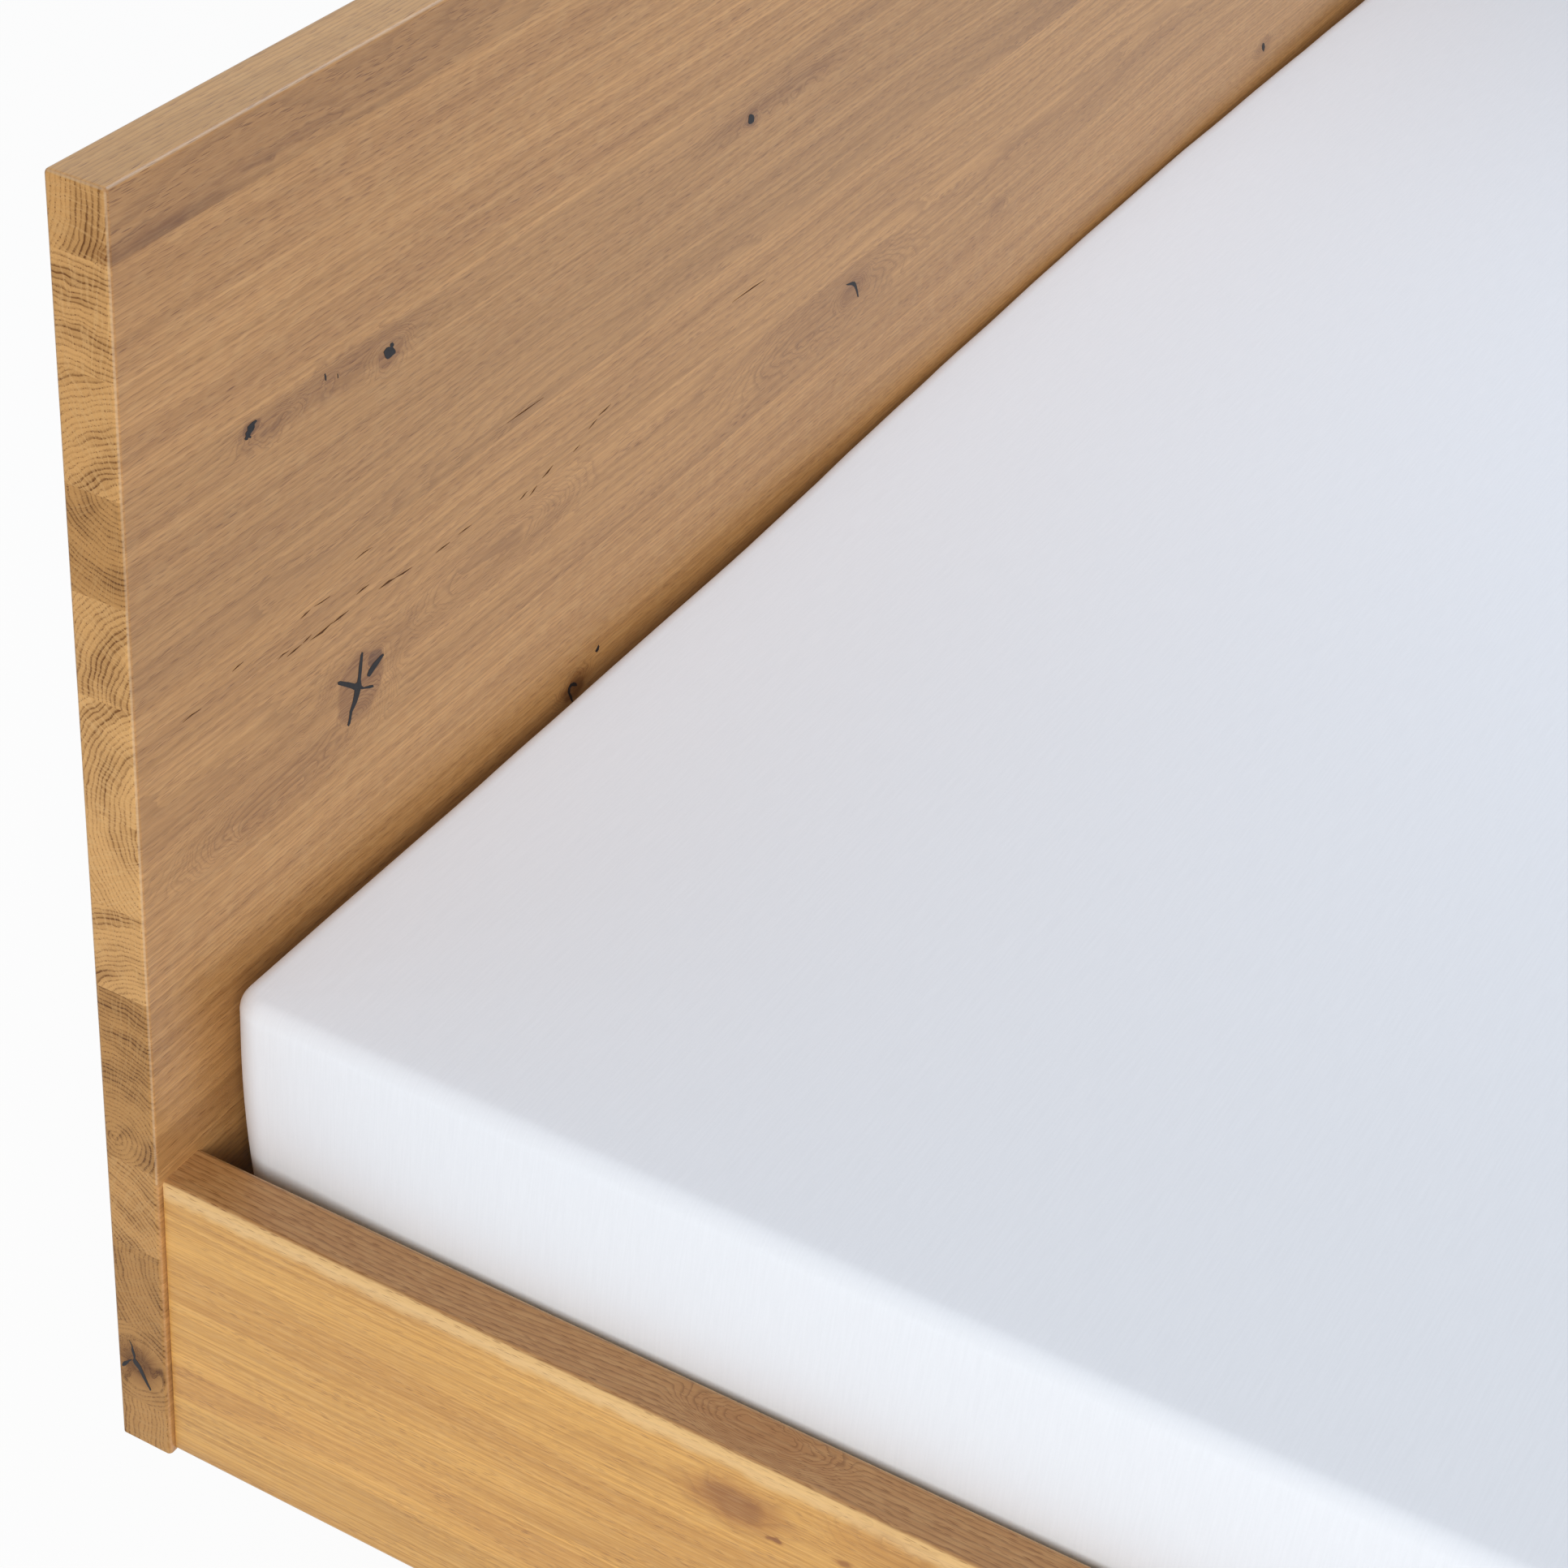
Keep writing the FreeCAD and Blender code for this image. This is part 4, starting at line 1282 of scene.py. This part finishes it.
@dataclass
class UnderFrame:
    """Corner fittings, ledges, centre beam, cross bearers and beam shoes, with their screws."""

    ledge_screws: int = 8
    ledge_end_margin: float = 90.0
    ear_inset: float = 11.0
    ear_thickness: float = 3.0
    bearer_inset: float = 15.0
    bearer_screw_spacing: float = 50.0
    screws: Fasteners = field(default_factory=Fasteners)

    def build(self) -> None:
        """Dresses the under-frame and puts its screws in."""
        lengthwise = PlanedBeech("planed_beech_lengthwise", grain=Axis.Y)
        crosswise = PlanedBeech("planed_beech_crosswise", grain=Axis.X)
        dress(lengthwise.material(), "ledge_left", "ledge_right", "centre_beam")
        dress(crosswise.material(), "cross_bearer_head", "cross_bearer_foot")
        dress(ZINC.material(), "corner_slot_plates", "corner_hook_plates", "beam_shoe_head", "beam_shoe_foot")
        for side, inward in (("left", 1.0), ("right", -1.0)):
            low, high = box_of(f"ledge_{side}", unit=MM)
            face = high.x if side == "left" else low.x
            run = high.y - low.y - 2 * self.ledge_end_margin
            last = self.ledge_screws - 1
            row = [low.y + self.ledge_end_margin + run * index / last for index in range(last + 1)]
            places = product([face], row, [(low.z + high.z) / 2])
            self.screws.build(f"ledge_screws_{side}", places, (inward, 0.0, 0.0))
        for end, outward in (("head", 1.0), ("foot", -1.0)):
            low, high = box_of(f"beam_shoe_{end}", unit=MM)
            ears = (low.x + self.ear_inset, high.x - self.ear_inset)
            face = high.y - self.ear_thickness if end == "head" else low.y + self.ear_thickness
            levels = [low.z + share * (high.z - low.z) for share in (0.25, 0.75)]
            self.screws.build(f"shoe_screws_{end}", product(ears, [face], levels), (0.0, -outward, 0.0))
            low, high = box_of(f"cross_bearer_{end}", unit=MM)
            ends = (low.x + self.bearer_inset, high.x - self.bearer_inset)
            middle, half = (low.y + high.y) / 2, self.bearer_screw_spacing / 2
            places = product(ends, (middle - half, middle + half), [low.z])
            self.screws.build(f"bearer_screws_{end}", places, (0.0, 0.0, -1.0))


@dataclass
class Legs:
    """Four block legs in oak, and two steel centre legs on screw feet."""

    flange_screw_inset: float = 9.0
    flange_thickness: float = 3.0
    spindle_radius: float = 6.0
    thread_pitch: float = 1.75
    thread_depth: float = 0.95
    turn_rows: int = 4
    nut_flats: float = 19.0
    nut_chamfer: float = 0.5
    nut_height: float = 9.0
    nut_top_inset: float = 0.6
    hub_share: float = 0.75
    hub_drop: float = 0.8
    disc_height: float = 6.0
    disc_rim: float = 2.2
    rim_steps: int = 4
    segments: int = 48
    screws: Fasteners = field(default_factory=Fasteners)

    def build(self) -> None:
        """Dresses the legs and builds the threaded feet."""
        oak = SolidOak(
            "oiled_oak_legs",
            axes=BoardAxes((0, 0, 0), (0, 0, 1), (1, 0, 0), (0, 1, 0)),
            extent=(1700.0, 1700.0, 1700.0),
            # The legs get no painted edge highlight.
            arris_share=0.0,
            staves=(Stave(1.0, 40.0, 60.0),),
            light="#D6A660",
            middle="#C99850",
            dark="#A97432",
            pore="#74481C",
        )
        for end in ("head", "foot"):
            dress(oak.material(), f"leg_{end}_left", f"leg_{end}_right")
            dress(POWDER_COAT.material(), f"centre_leg_{end}")
            dress(RUBBER.material(), f"foot_pad_{end}")
            low, high = box_of(f"centre_leg_{end}", unit=MM)
            inset = self.flange_screw_inset
            corners = ((low.x + inset, high.x - inset), (low.y + inset, high.y - inset))
            places = product(*corners, [high.z - self.flange_thickness])
            self.screws.build(f"flange_screws_{end}", places, (0.0, 0.0, -1.0))
            self._build_foot(end)
        dress(POWDER_COAT.material(), "leg_plates")
        dress(FELT.material(), "leg_felt_pads")

    def _build_foot(self, end: str) -> None:
        """Builds one screw foot: a rolled disc, a chamfered nut and a threaded spindle.

        Args:
            end: the end of the bed that it stands at.
        """
        low, high = box_of(f"screw_foot_{end}", unit=MM)
        inner = (high.x - low.x) / 2 - self.disc_rim
        nut_bottom = low.z + self.disc_height
        nut_top = nut_bottom + self.nut_height
        core = self.spindle_radius - self.thread_depth
        shapes = [lambda _: (inner, low.z)]
        for step in range(self.rim_steps + 1):
            angle = math.pi * (step / self.rim_steps - 0.5)
            level = (inner + self.disc_rim * math.cos(angle), low.z + self.disc_rim * (1 + math.sin(angle)))
            shapes.append(lambda _, level=level: level)
        shapes.append(lambda _: (self.nut_flats * self.hub_share, nut_bottom - self.hub_drop))
        shapes.append(lambda angle: self._nut(angle, nut_bottom, 0.0))
        shapes.append(lambda angle: self._nut(angle, nut_top, self.nut_chamfer))
        shapes.append(lambda _: (self.nut_flats / 2 - self.nut_top_inset, nut_top))
        shapes.append(lambda _: (core, nut_top))
        rise = self.thread_pitch / self.turn_rows
        for row in range(1, int((high.z - nut_top) / rise)):
            shapes.append(lambda angle, z=nut_top + row * rise: self._thread(angle, z))
        shapes.append(lambda _: (core, high.z))
        middle = (low + high) / 2
        angles = [math.tau * index / self.segments for index in range(self.segments)]
        rings = []
        for shape in shapes:
            spots = [(angle, *shape(angle)) for angle in angles]
            rings.append([(middle.x + r * math.cos(a), middle.y + r * math.sin(a), z) for a, r, z in spots])
        mesh = bmesh.new()
        loft(mesh, rings)
        foot = make_piece(
            f"threaded_foot_{end}", mesh, ZINC, f"centre_foot_{end}", smooth=False
        )
        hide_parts(f"screw_foot_{end}")

    def _nut(self, angle: float, z: float, chamfer: float) -> tuple[float, float]:
        """Works out a hexagon's edge, whose corners are drawn down where it is chamfered.

        Args:
            angle: the direction from its middle.
            z: its height at the middle of a flat.
            chamfer: how far the corners are drawn down.

        Returns:
            The radius and height there.
        """
        flat = self.nut_flats / 2
        from_flat = (angle + math.pi / 6) % (math.pi / 3) - math.pi / 6
        radius = flat / math.cos(from_flat)
        return radius, z - chamfer * (radius - flat) / (flat / math.cos(math.pi / 6) - flat)

    def _thread(self, angle: float, z: float) -> tuple[float, float]:
        """Returns the radius of a V-shaped thread in a direction at a height, and the height."""
        phase = (z / self.thread_pitch - angle / math.tau) % 1.0
        return self.spindle_radius - self.thread_depth * abs(2 * phase - 1), z


@dataclass
class SlattedBases:
    """Two slatted bases: plywood rails, bowed beech slats and rubber caps."""

    def build(self) -> None:
        """Dresses both bases."""
        long_rail = PlywoodEdge("birch_plywood_lengthwise", across=Axis.X).material()
        end_piece = PlywoodEdge("birch_plywood_crosswise", across=Axis.Y).material()
        low, high = box_of("slats_right")
        bow = Bow((low.x + high.x) / 2, (high.x - low.x) / 2, low.z)
        slats = PlanedBeech("laminated_beech_slats", grain=Axis.X, bow=bow, light="#E0C59C", dark="#D0B184")
        for side in ("left", "right"):
            dress(long_rail, f"base_outer_rail_{side}", f"base_inner_rail_{side}")
            dress(end_piece, f"base_head_piece_{side}", f"base_foot_piece_{side}")
            dress(slats.material(), f"slats_{side}")
            dress(RUBBER.material(), f"slat_caps_{side}")


@dataclass
class WrappedForm:
    """A rounded slab drawn as rings round its middle, from its underside to its crown."""

    half_width: float
    half_length: float
    half_height: float
    middle: Point
    corner_radius: float
    edge_step: float = 24.0
    corner_steps: int = 10
    corner_growth: float = 0.6
    least_side: float = 4.0
    corner_draw: float = 8.5
    corner_reach: float = 90.0
    rail_swell: float = 3.0
    rail_reach: float = 20.0
    head_swell: float = 9.0
    head_reach: float = 70.0
    head_middle: float = 200.0
    head_spread: float = 620.0
    head_back: float = 1.5
    head_limit: float = 1010.0

    def ring(self, inset: float, z: float) -> list[tuple[Point, Vector]]:
        """Draws one level ring.

        Args:
            inset: how far it is drawn in from the widest outline.
            z: its height.

        Returns:
            Each point with the level direction that it faces.
        """
        grown = self.corner_growth * max(0.0, inset - self.corner_radius)
        radius = max(self.corner_radius - inset, self.corner_radius / 4) + grown
        radius = min(radius, self.half_width - inset - self.least_side)
        reach_x = self.half_width - inset - radius
        reach_y = self.half_length - inset - radius
        counts = [max(2, round(2 * half / self.edge_step)) for half in (self.half_length, self.half_width)]
        signs = ((1, -1), (1, 1), (-1, 1), (-1, -1))
        corners = [Vector((self.middle[0] + x * reach_x, self.middle[1] + y * reach_y, z)) for x, y in signs]
        points = []
        for index, corner in enumerate(corners):
            for step in range(self.corner_steps + 1):
                angle = (index - 1 + step / self.corner_steps) * math.pi / 2
                facing = Vector((math.cos(angle), math.sin(angle), 0.0))
                points.append((self._shaped(corner + radius * facing), facing))
            start, end = (centre + radius * facing for centre in (corner, corners[(index + 1) % 4]))
            count = counts[index % 2]
            for step in range(1, count):
                points.append((self._shaped(start.lerp(end, step / count)), facing))
        return points

    def _shaped(self, place: Vector) -> Point:
        """Draws the lower corners in, and lets the sides swell towards rails and headboard.

        Args:
            place: a point of the plain slab.

        Returns:
            Where it goes.
        """
        offset = place - Vector(self.middle)
        rise = min(1.0, max(0.0, 0.5 + offset.z / (2 * self.half_height)))
        gap_x = self.half_width - abs(offset.x)
        gap_y = self.half_length - abs(offset.y)
        corner = math.exp(-(gap_x * gap_x + gap_y * gap_y) / self.corner_reach**2)
        drawn = corner * self.corner_draw * (1 - rise) ** 1.4
        fade = max(0.0, 1 - gap_x / self.rail_reach)
        swell = self.rail_swell * math.sin(math.pi * rise) * fade * (1 - corner)
        spread = max(0.0, 1 - ((offset.x - self.head_middle) / self.head_spread) ** 2) ** 1.5
        near_head = max(0.0, 1 - (self.half_length - offset.y) / self.head_reach)
        x = place.x + math.copysign(1.0, offset.x) * (swell - drawn)
        y = place.y - math.copysign(1.0, offset.y) * drawn
        y += (self.head_swell * spread - self.head_back) * near_head
        return (x, min(y, self.head_limit), place.z)


@dataclass
class ClothSettling:
    """A short cloth simulation that lets a sheet settle on what it covers."""

    frames: int = 10
    quality: int = 4
    weight: float = 0.19
    stretch: float = 25.0
    bending: float = 0.4
    tautness: float = 0.003
    damping: float = 5.0
    contact: float = 1.0
    reach: float = 3.0
    calm: float = 90.0
    smoothing: int = 14

    def run(self, mesh: Mesh, covered: Piece, held: int) -> None:
        """Simulates the sheet and moves its points to where they come to rest.

        Args:
            mesh: the sheet as one skin, in millimetres.
            covered: the piece that it lies on.
            held: how many of its first points the elastic holds still.
        """
        data = bpy.data.meshes.new("cloth_run")
        mesh.to_mesh(data)
        data.transform(Matrix.Scale(MM, 4))
        cloth = new_object("cloth_run", data)
        cloth.vertex_groups.new(name="held").add(range(held), 1.0, "REPLACE")
        ground = covered.modifiers.new("ground", "COLLISION")
        covered.collision.thickness_outer = self.contact * MM
        rested = self._simulated(cloth)
        steps = [point.co / MM - vertex.co for vertex, point in zip(mesh.verts, rested.vertices)]
        half = Vector(covered.dimensions) / MM / 2
        for index, vertex in enumerate(mesh.verts):
            inside = min(half.x - abs(vertex.co.x), half.y - abs(vertex.co.y))
            steps[index] *= min(1.0, max(0.0, 1 - inside / self.calm))
            if steps[index].length > self.reach:
                steps[index] *= self.reach / steps[index].length
        for vertex, step in zip(mesh.verts, self._smoothed(mesh, steps)):
            vertex.co += step
        covered.modifiers.remove(ground)
        bpy.data.objects.remove(cloth)
        bpy.data.meshes.remove(data)
        bpy.context.scene.frame_set(1)

    def _simulated(self, cloth: Piece) -> bpy.types.Mesh:
        """Runs the simulation to its last frame.

        Args:
            cloth: the sheet as an object, in metres.

        Returns:
            Its mesh at that frame.
        """
        modifier = cloth.modifiers.new("settling", "CLOTH")
        area = sum(face.area for face in cloth.data.polygons)
        values = modifier.settings
        values.quality = self.quality
        values.mass = self.weight * area / len(cloth.data.vertices)
        values.tension_stiffness = values.compression_stiffness = self.stretch
        values.bending_stiffness = self.bending
        values.vertex_group_mass = "held"
        values.shrink_min = self.tautness
        values.effector_weights.gravity = 0.0
        values.air_damping = self.damping
        modifier.collision_settings.distance_min = self.contact * MM
        modifier.collision_settings.use_self_collision = False
        modifier.point_cache.frame_start = 1
        modifier.point_cache.frame_end = self.frames
        for frame in range(1, self.frames + 1):
            bpy.context.scene.frame_set(frame)
        return cloth.evaluated_get(bpy.context.evaluated_depsgraph_get()).data

    def _smoothed(self, mesh: Mesh, steps: list[Vector]) -> list[Vector]:
        """Evens the points' moves out over the mesh.

        Args:
            mesh: the sheet.
            steps: each point's move.

        Returns:
            The even moves.
        """
        mesh.verts.index_update()
        near = [[edge.other_vert(vertex).index for edge in vertex.link_edges] for vertex in mesh.verts]
        for _ in range(self.smoothing):
            steps = [
                (step + sum((steps[other] for other in others), Vector())) / (1 + len(others))
                for step, others in zip(steps, near)
            ]
        furthest = max(step.length for step in steps)
        LOG.info("The sheet settled; its furthest point moved %.1f mm", furthest)
        return steps


@dataclass
class MattressAndSheet:
    """The mattress core in ticking, and the fitted sheet that is stretched over it."""

    corner_radius: float = 21.0
    top_rounding: float = 11.0
    bottom_rounding: float = 12.0
    rounding_steps: tuple[int, int] = (6, 8)
    side_steps: int = 14
    side_swell: float = 2.5
    lower_taper: float = 3.0
    crown: float = 6.0
    cloth: float = 1.2
    hem_width: float = 110.0
    elastic_radius: float = 2.2
    elastic_sides: int = 6
    elastic_lift: float = 0.3
    elastic_flatness: float = 0.35
    gather_pitch: float = 60.0
    gather_depth: float = 2.5
    flat_size: tuple[float, float] = (2420.0, 2620.0)
    fill: float = 0.95
    quilt_pitch: float = 150.0
    quilt_depth: float = 4.0
    quilt_step: float = 18.0
    quilt_edge: float = 40.0
    quilt_start: float = 6.0
    quilt_middle: float = 30.0
    ring_step: float = 30.0
    ring_start: float = 8.0
    ring_middle: float = 20.0
    core_room: float = 3.0
    head_room: float = 3.0
    ease: float = 0.8
    slow_waves: tuple[float, float] = (240.0, 0.5)
    edge_waves: tuple[float, float] = (55.0, 1.1)
    top_waves: tuple[float, float] = (330.0, 0.7)
    wave_seed: Point = (7.0, 3.0, 1.0)
    settling: ClothSettling = field(default_factory=ClothSettling)

    def build(self) -> None:
        """Builds the core, the sheet and its elastic hem."""
        core = self._build_core()
        sheet = self._build_sheet(core)
        hem = self._build_hem()
        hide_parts("mattress")
        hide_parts("fitted_sheet")
        flat = tuple(size * MM for size in self.flat_size)

    def _levels(self, form: WrappedForm, height: float) -> list[tuple[float, float]]:
        """Works out the section from the underside's edge, over the top's edge, to the middle.

        Args:
            form: the form that is drawn.
            height: from underside to top edge.

        Returns:
            How far each level is drawn in, and its height over the underside.
        """
        levels = []
        low_steps, high_steps = self.rounding_steps
        for step in range(low_steps + 1):
            angle = step / low_steps * math.pi / 2
            inset = self.bottom_rounding * (1 - math.sin(angle)) + self.lower_taper
            levels.append((inset, self.bottom_rounding * (1 - math.cos(angle))))
        straight = height - self.top_rounding - self.bottom_rounding
        for step in range(1, self.side_steps):
            share = step / self.side_steps
            inset = self.lower_taper * (1 - share) ** 2 - self.side_swell * math.sin(share * math.pi)
            levels.append((inset, self.bottom_rounding + share * straight))
        for step in range(high_steps + 1):
            angle = step / high_steps * math.pi / 2
            inset = self.top_rounding * (1 - math.cos(angle))
            levels.append((inset, height - self.top_rounding * (1 - math.sin(angle))))
        inset = self.top_rounding + self.ring_start
        while inset < form.half_width - self.ring_middle:
            share = (inset - self.top_rounding) / (form.half_width - self.top_rounding)
            levels.append((inset, height + self.crown * math.sin(share * math.pi / 2)))
            inset += self.ring_step
        return levels

    def _form(self, node: str, room: float) -> tuple[WrappedForm, Vector, Vector]:
        """Fits a wrapped form into a solid's box.

        Args:
            node: the solid's name.
            room: how much smaller than the box the form is made, at its sides and top.

        Returns:
            The form, and the box's lowest and highest corners, in millimetres.
        """
        low, high = box_of(node, unit=MM)
        low += Vector((room, room, 0.0))
        high -= Vector((room, room, room))
        form = WrappedForm(
            (high.x - low.x) / 2 - self.side_swell,
            (high.y - low.y) / 2 - self.side_swell,
            (high.z - low.z) / 2,
            tuple((low + high) / 2),
            self.corner_radius,
            head_limit=high.y + self.head_room,
        )
        return form, low, high

    def _build_core(self) -> Piece:
        """Builds the mattress: quilted below, plain where the sheet covers it.

        Returns:
            The core.
        """
        form, low, high = self._form("mattress", self.core_room)
        rings = []
        inset = form.half_width - self.quilt_middle
        while inset > self.bottom_rounding + self.quilt_start:
            ring = []
            for (x, y, _), _ in form.ring(inset, low.z):
                seams = [abs(math.sin(way / self.quilt_pitch * math.pi)) for way in (x + y, x - y)]
                seam = 1 - min(1.0, 4 * min(seams))
                edge = min(1.0, (inset - self.bottom_rounding) / self.quilt_edge)
                ring.append((x, y, low.z + self.quilt_depth * seam * edge))
            rings.append(ring)
            inset -= self.quilt_step
        for inset, rise in self._levels(form, high.z - low.z - self.crown):
            rings.append([point for point, _ in form.ring(inset, low.z + rise)])
        mesh = bmesh.new()
        loft(mesh, rings)
        ticking = MattressTicking("knitted_ticking")
        return make_piece("mattress_core", mesh, ticking, "mattress_and_sheet")

    def _build_sheet(self, core: Piece) -> Piece:
        """Builds the fitted sheet: a skin over the core that settles, and then gets its thickness.

        Args:
            core: the mattress core.

        Returns:
            The sheet.
        """
        form, low, high = self._form("fitted_sheet", -self.ease)
        rings = [self._gathered_ring(form, low.z)]
        rings += [form.ring(self.hem_width * share, low.z) for share in (0.75, 0.5, 0.25)]
        for inset, rise in self._levels(form, high.z - low.z - self.crown):
            rings.append(form.ring(inset, low.z + rise))
        skin = [[self._settled(point, facing, low, high) for point, facing in ring] for ring in rings]
        mesh = bmesh.new()
        loft(mesh, skin, Ends.OPEN)
        mesh.faces.new(mesh.verts[-len(skin[-1]):])
        bmesh.ops.recalc_face_normals(mesh, faces=mesh.faces)
        self.settling.run(mesh, core, held=4 * len(skin[0]))
        bmesh.ops.solidify(mesh, geom=mesh.faces[:], thickness=self.cloth)
        return make_piece("fitted_sheet_cloth", mesh, JERSEY, "mattress_and_sheet")

    def _gathered_ring(self, form: WrappedForm, z: float) -> list[tuple[Point, Vector]]:
        """Draws the sheet's lower edge, pulled into small gathers by the elastic.

        Args:
            form: the sheet's form.
            z: the edge's height.

        Returns:
            Each point with the level direction that it faces.
        """
        points = []
        way = 0.0
        last: Vector | None = None
        for point, facing in form.ring(self.hem_width, z):
            place = Vector(point)
            way += (place - last).length if last else 0.0
            last = place
            wave = self.gather_depth * math.sin(math.tau * way / self.gather_pitch)
            points.append((tuple(place + wave * facing), facing))
        return points

    def _settled(self, point: Point, facing: Vector, low: Vector, high: Vector) -> Point:
        """Gives a point of the cloth the slight unevenness of a stretched sheet.

        Args:
            point: its place on the even form.
            facing: the level direction that it faces.
            low: the lowest corner of the sheet's box.
            high: the highest corner.

        Returns:
            Where it goes.
        """
        place = Vector(point)
        rise = (place.z - low.z) / (high.z - low.z)
        near_edge = max(0.0, 1 - abs(rise - 0.9) / 0.1)
        (slow_size, slow_height), (edge_size, edge_height) = self.slow_waves, self.edge_waves
        top_size, top_height = self.top_waves
        slow = noise.noise(place / slow_size) * slow_height
        waves = noise.noise(place / edge_size + Vector(self.wave_seed)) * edge_height * near_edge
        out = facing * (slow + waves) if rise > 0.15 else Vector()
        lift = Vector((0.0, 0.0, noise.noise(place / top_size) * top_height)) if rise > 0.9 else Vector()
        return tuple(place + out + lift)

    def _build_hem(self) -> Piece:
        """Builds the elastic casing round the sheet's lower edge.

        Returns:
            The hem.
        """
        form, low, _ = self._form("fitted_sheet", -self.ease)
        rings = []
        for point, facing in self._gathered_ring(form, low.z + self.elastic_radius * self.elastic_lift):
            ring = []
            for side in range(self.elastic_sides):
                angle = math.tau * side / self.elastic_sides
                offset = facing * (self.elastic_radius * math.cos(angle))
                offset += Vector((0.0, 0.0, self.elastic_radius * self.elastic_flatness * math.sin(angle)))
                ring.append(Vector(point) + offset)
            rings.append(ring)
        mesh = bmesh.new()
        loft(mesh, rings, Ends.JOINED)
        return make_piece("sheet_elastic_hem", mesh, JERSEY, "mattress_and_sheet")


@dataclass
class Lamp:
    """A soft box: a large square lamp that faces a point."""

    name: str
    place: Point
    aim: Point
    size: float
    power: float
    colour: str = "#FFFFFF"

    def build(self) -> None:
        """Puts the lamp up."""
        data = bpy.data.lights.new(self.name, "AREA")
        data.shape = "SQUARE"
        data.size = self.size
        data.energy = self.power
        data.color = linear(self.colour)[:3]
        lamp = new_object(self.name, data)
        lamp.location = self.place
        lamp.rotation_euler = (Vector(self.aim) - Vector(self.place)).to_track_quat("-Z", "Y").to_euler()


@dataclass
class Studio:
    """Camera, lamps, world and floor. Places are in metres."""

    camera_place: Point = (-1.9224, 0.2014, 1.5742)
    camera_aim: Point = (-0.2584, 1.0130, 0.2218)
    camera_roll: float = 5.248
    lens: float = 75.92
    sensor: float = 36.0
    white: str = "#FFFFFF"
    world_colour: str = "#F2F5FB"
    world_strength: float = 0.46
    floor_colour: str = "#F2F2F2"
    floor_white: float = 0.94
    floor_half: float = 9.0
    lamps: tuple[Lamp, ...] = (
        Lamp("key_softbox", (-6.15, -2.55, 3.2), (-0.3, 0.3, 0.45), 3.9, 350.0, "#FDFDFC"),
        Lamp("head_softbox", (0.3, 0.64, 2.09), (0.0, 0.69, 0.5), 1.0, 12.8, "#E5F1FF"),
    )

    def build(self) -> None:
        """Sets up everything that isn't the bed."""
        bpy.context.scene.view_settings.view_transform = "Standard"
        self._build_camera()
        self._build_world()
        self._build_floor()
        for lamp in self.lamps:
            lamp.build()

    def _build_camera(self) -> None:
        """Sets the camera at the photograph's viewpoint."""
        data = bpy.data.cameras.new("photo_view")
        data.lens = self.lens
        data.sensor_width = data.sensor_height = self.sensor
        data.sensor_fit = "HORIZONTAL"
        camera = new_object("photo_view", data)
        sight = Vector(self.camera_aim) - Vector(self.camera_place)
        level = sight.to_track_quat("-Z", "Y").to_matrix()
        roll = Euler((0.0, 0.0, math.radians(self.camera_roll))).to_matrix()
        camera.matrix_world = Matrix.Translation(self.camera_place) @ (level @ roll).to_4x4()
        bpy.context.scene.camera = camera

    def _white_share(self, add: Add) -> Socket:
        """Adds 1 for rays from the camera, gloss and glass, which see plain white, and else 0.

        Args:
            add: adds a node to the tree of the world or floor.

        Returns:
            The share.
        """
        rays = add("LightPath").node.outputs
        seen = add("Math", [rays["Is Camera Ray"], rays["Is Glossy Ray"]], operation="MAXIMUM")
        return add("Math", [seen, rays["Is Transmission Ray"]], operation="MAXIMUM")

    def _build_world(self) -> None:
        """Sets an even, slightly cool surround that looks white."""
        world = bpy.data.worlds.new("white_surround")
        bpy.context.scene.world = world
        add = empty_tree(world)
        light = add("Background", {"Color": self.world_colour, "Strength": self.world_strength})
        white = add("Background", {"Color": self.white, "Strength": 1.0})
        mixed = add("MixShader", [self._white_share(add), light, white])
        add("OutputWorld", {"Surface": mixed})

    def _build_floor(self) -> None:
        """Lays a pale floor that looks white but keeps a faint shadow of the bed."""
        material = bpy.data.materials.new("pale_floor")
        add = empty_tree(material)
        matt = add("BsdfDiffuse", {"Color": self.floor_colour})
        white = add("Emission", {"Color": self.white, "Strength": 1.0})
        share = add("Math", [self._white_share(add), self.floor_white], operation="MULTIPLY")
        add("OutputMaterial", {"Surface": add("MixShader", [share, matt, white])})
        half = self.floor_half
        data = bpy.data.meshes.new("studio_floor")
        corners = [(-half, -half, 0), (half, -half, 0), (half, half, 0), (-half, half, 0)]
        data.from_pydata(corners, [], [(0, 1, 2, 3)])
        data.materials.append(material)
        new_object("studio_floor", data)


def main() -> None:
    """Builds the studio and every sub-assembly in order, and logs how many objects each one adds."""
    logging.basicConfig(level=logging.INFO, format="%(name)s: %(message)s")
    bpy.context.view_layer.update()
    for part in (Studio(), Headboard(), Rails(), UnderFrame(), Legs(), SlattedBases(), MattressAndSheet()):
        before = len(bpy.data.objects)
        part.build()
        LOG.info("%s built, %d new objects", type(part).__name__, len(bpy.data.objects) - before)


if __name__ == "__main__":
    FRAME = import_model()
    main()
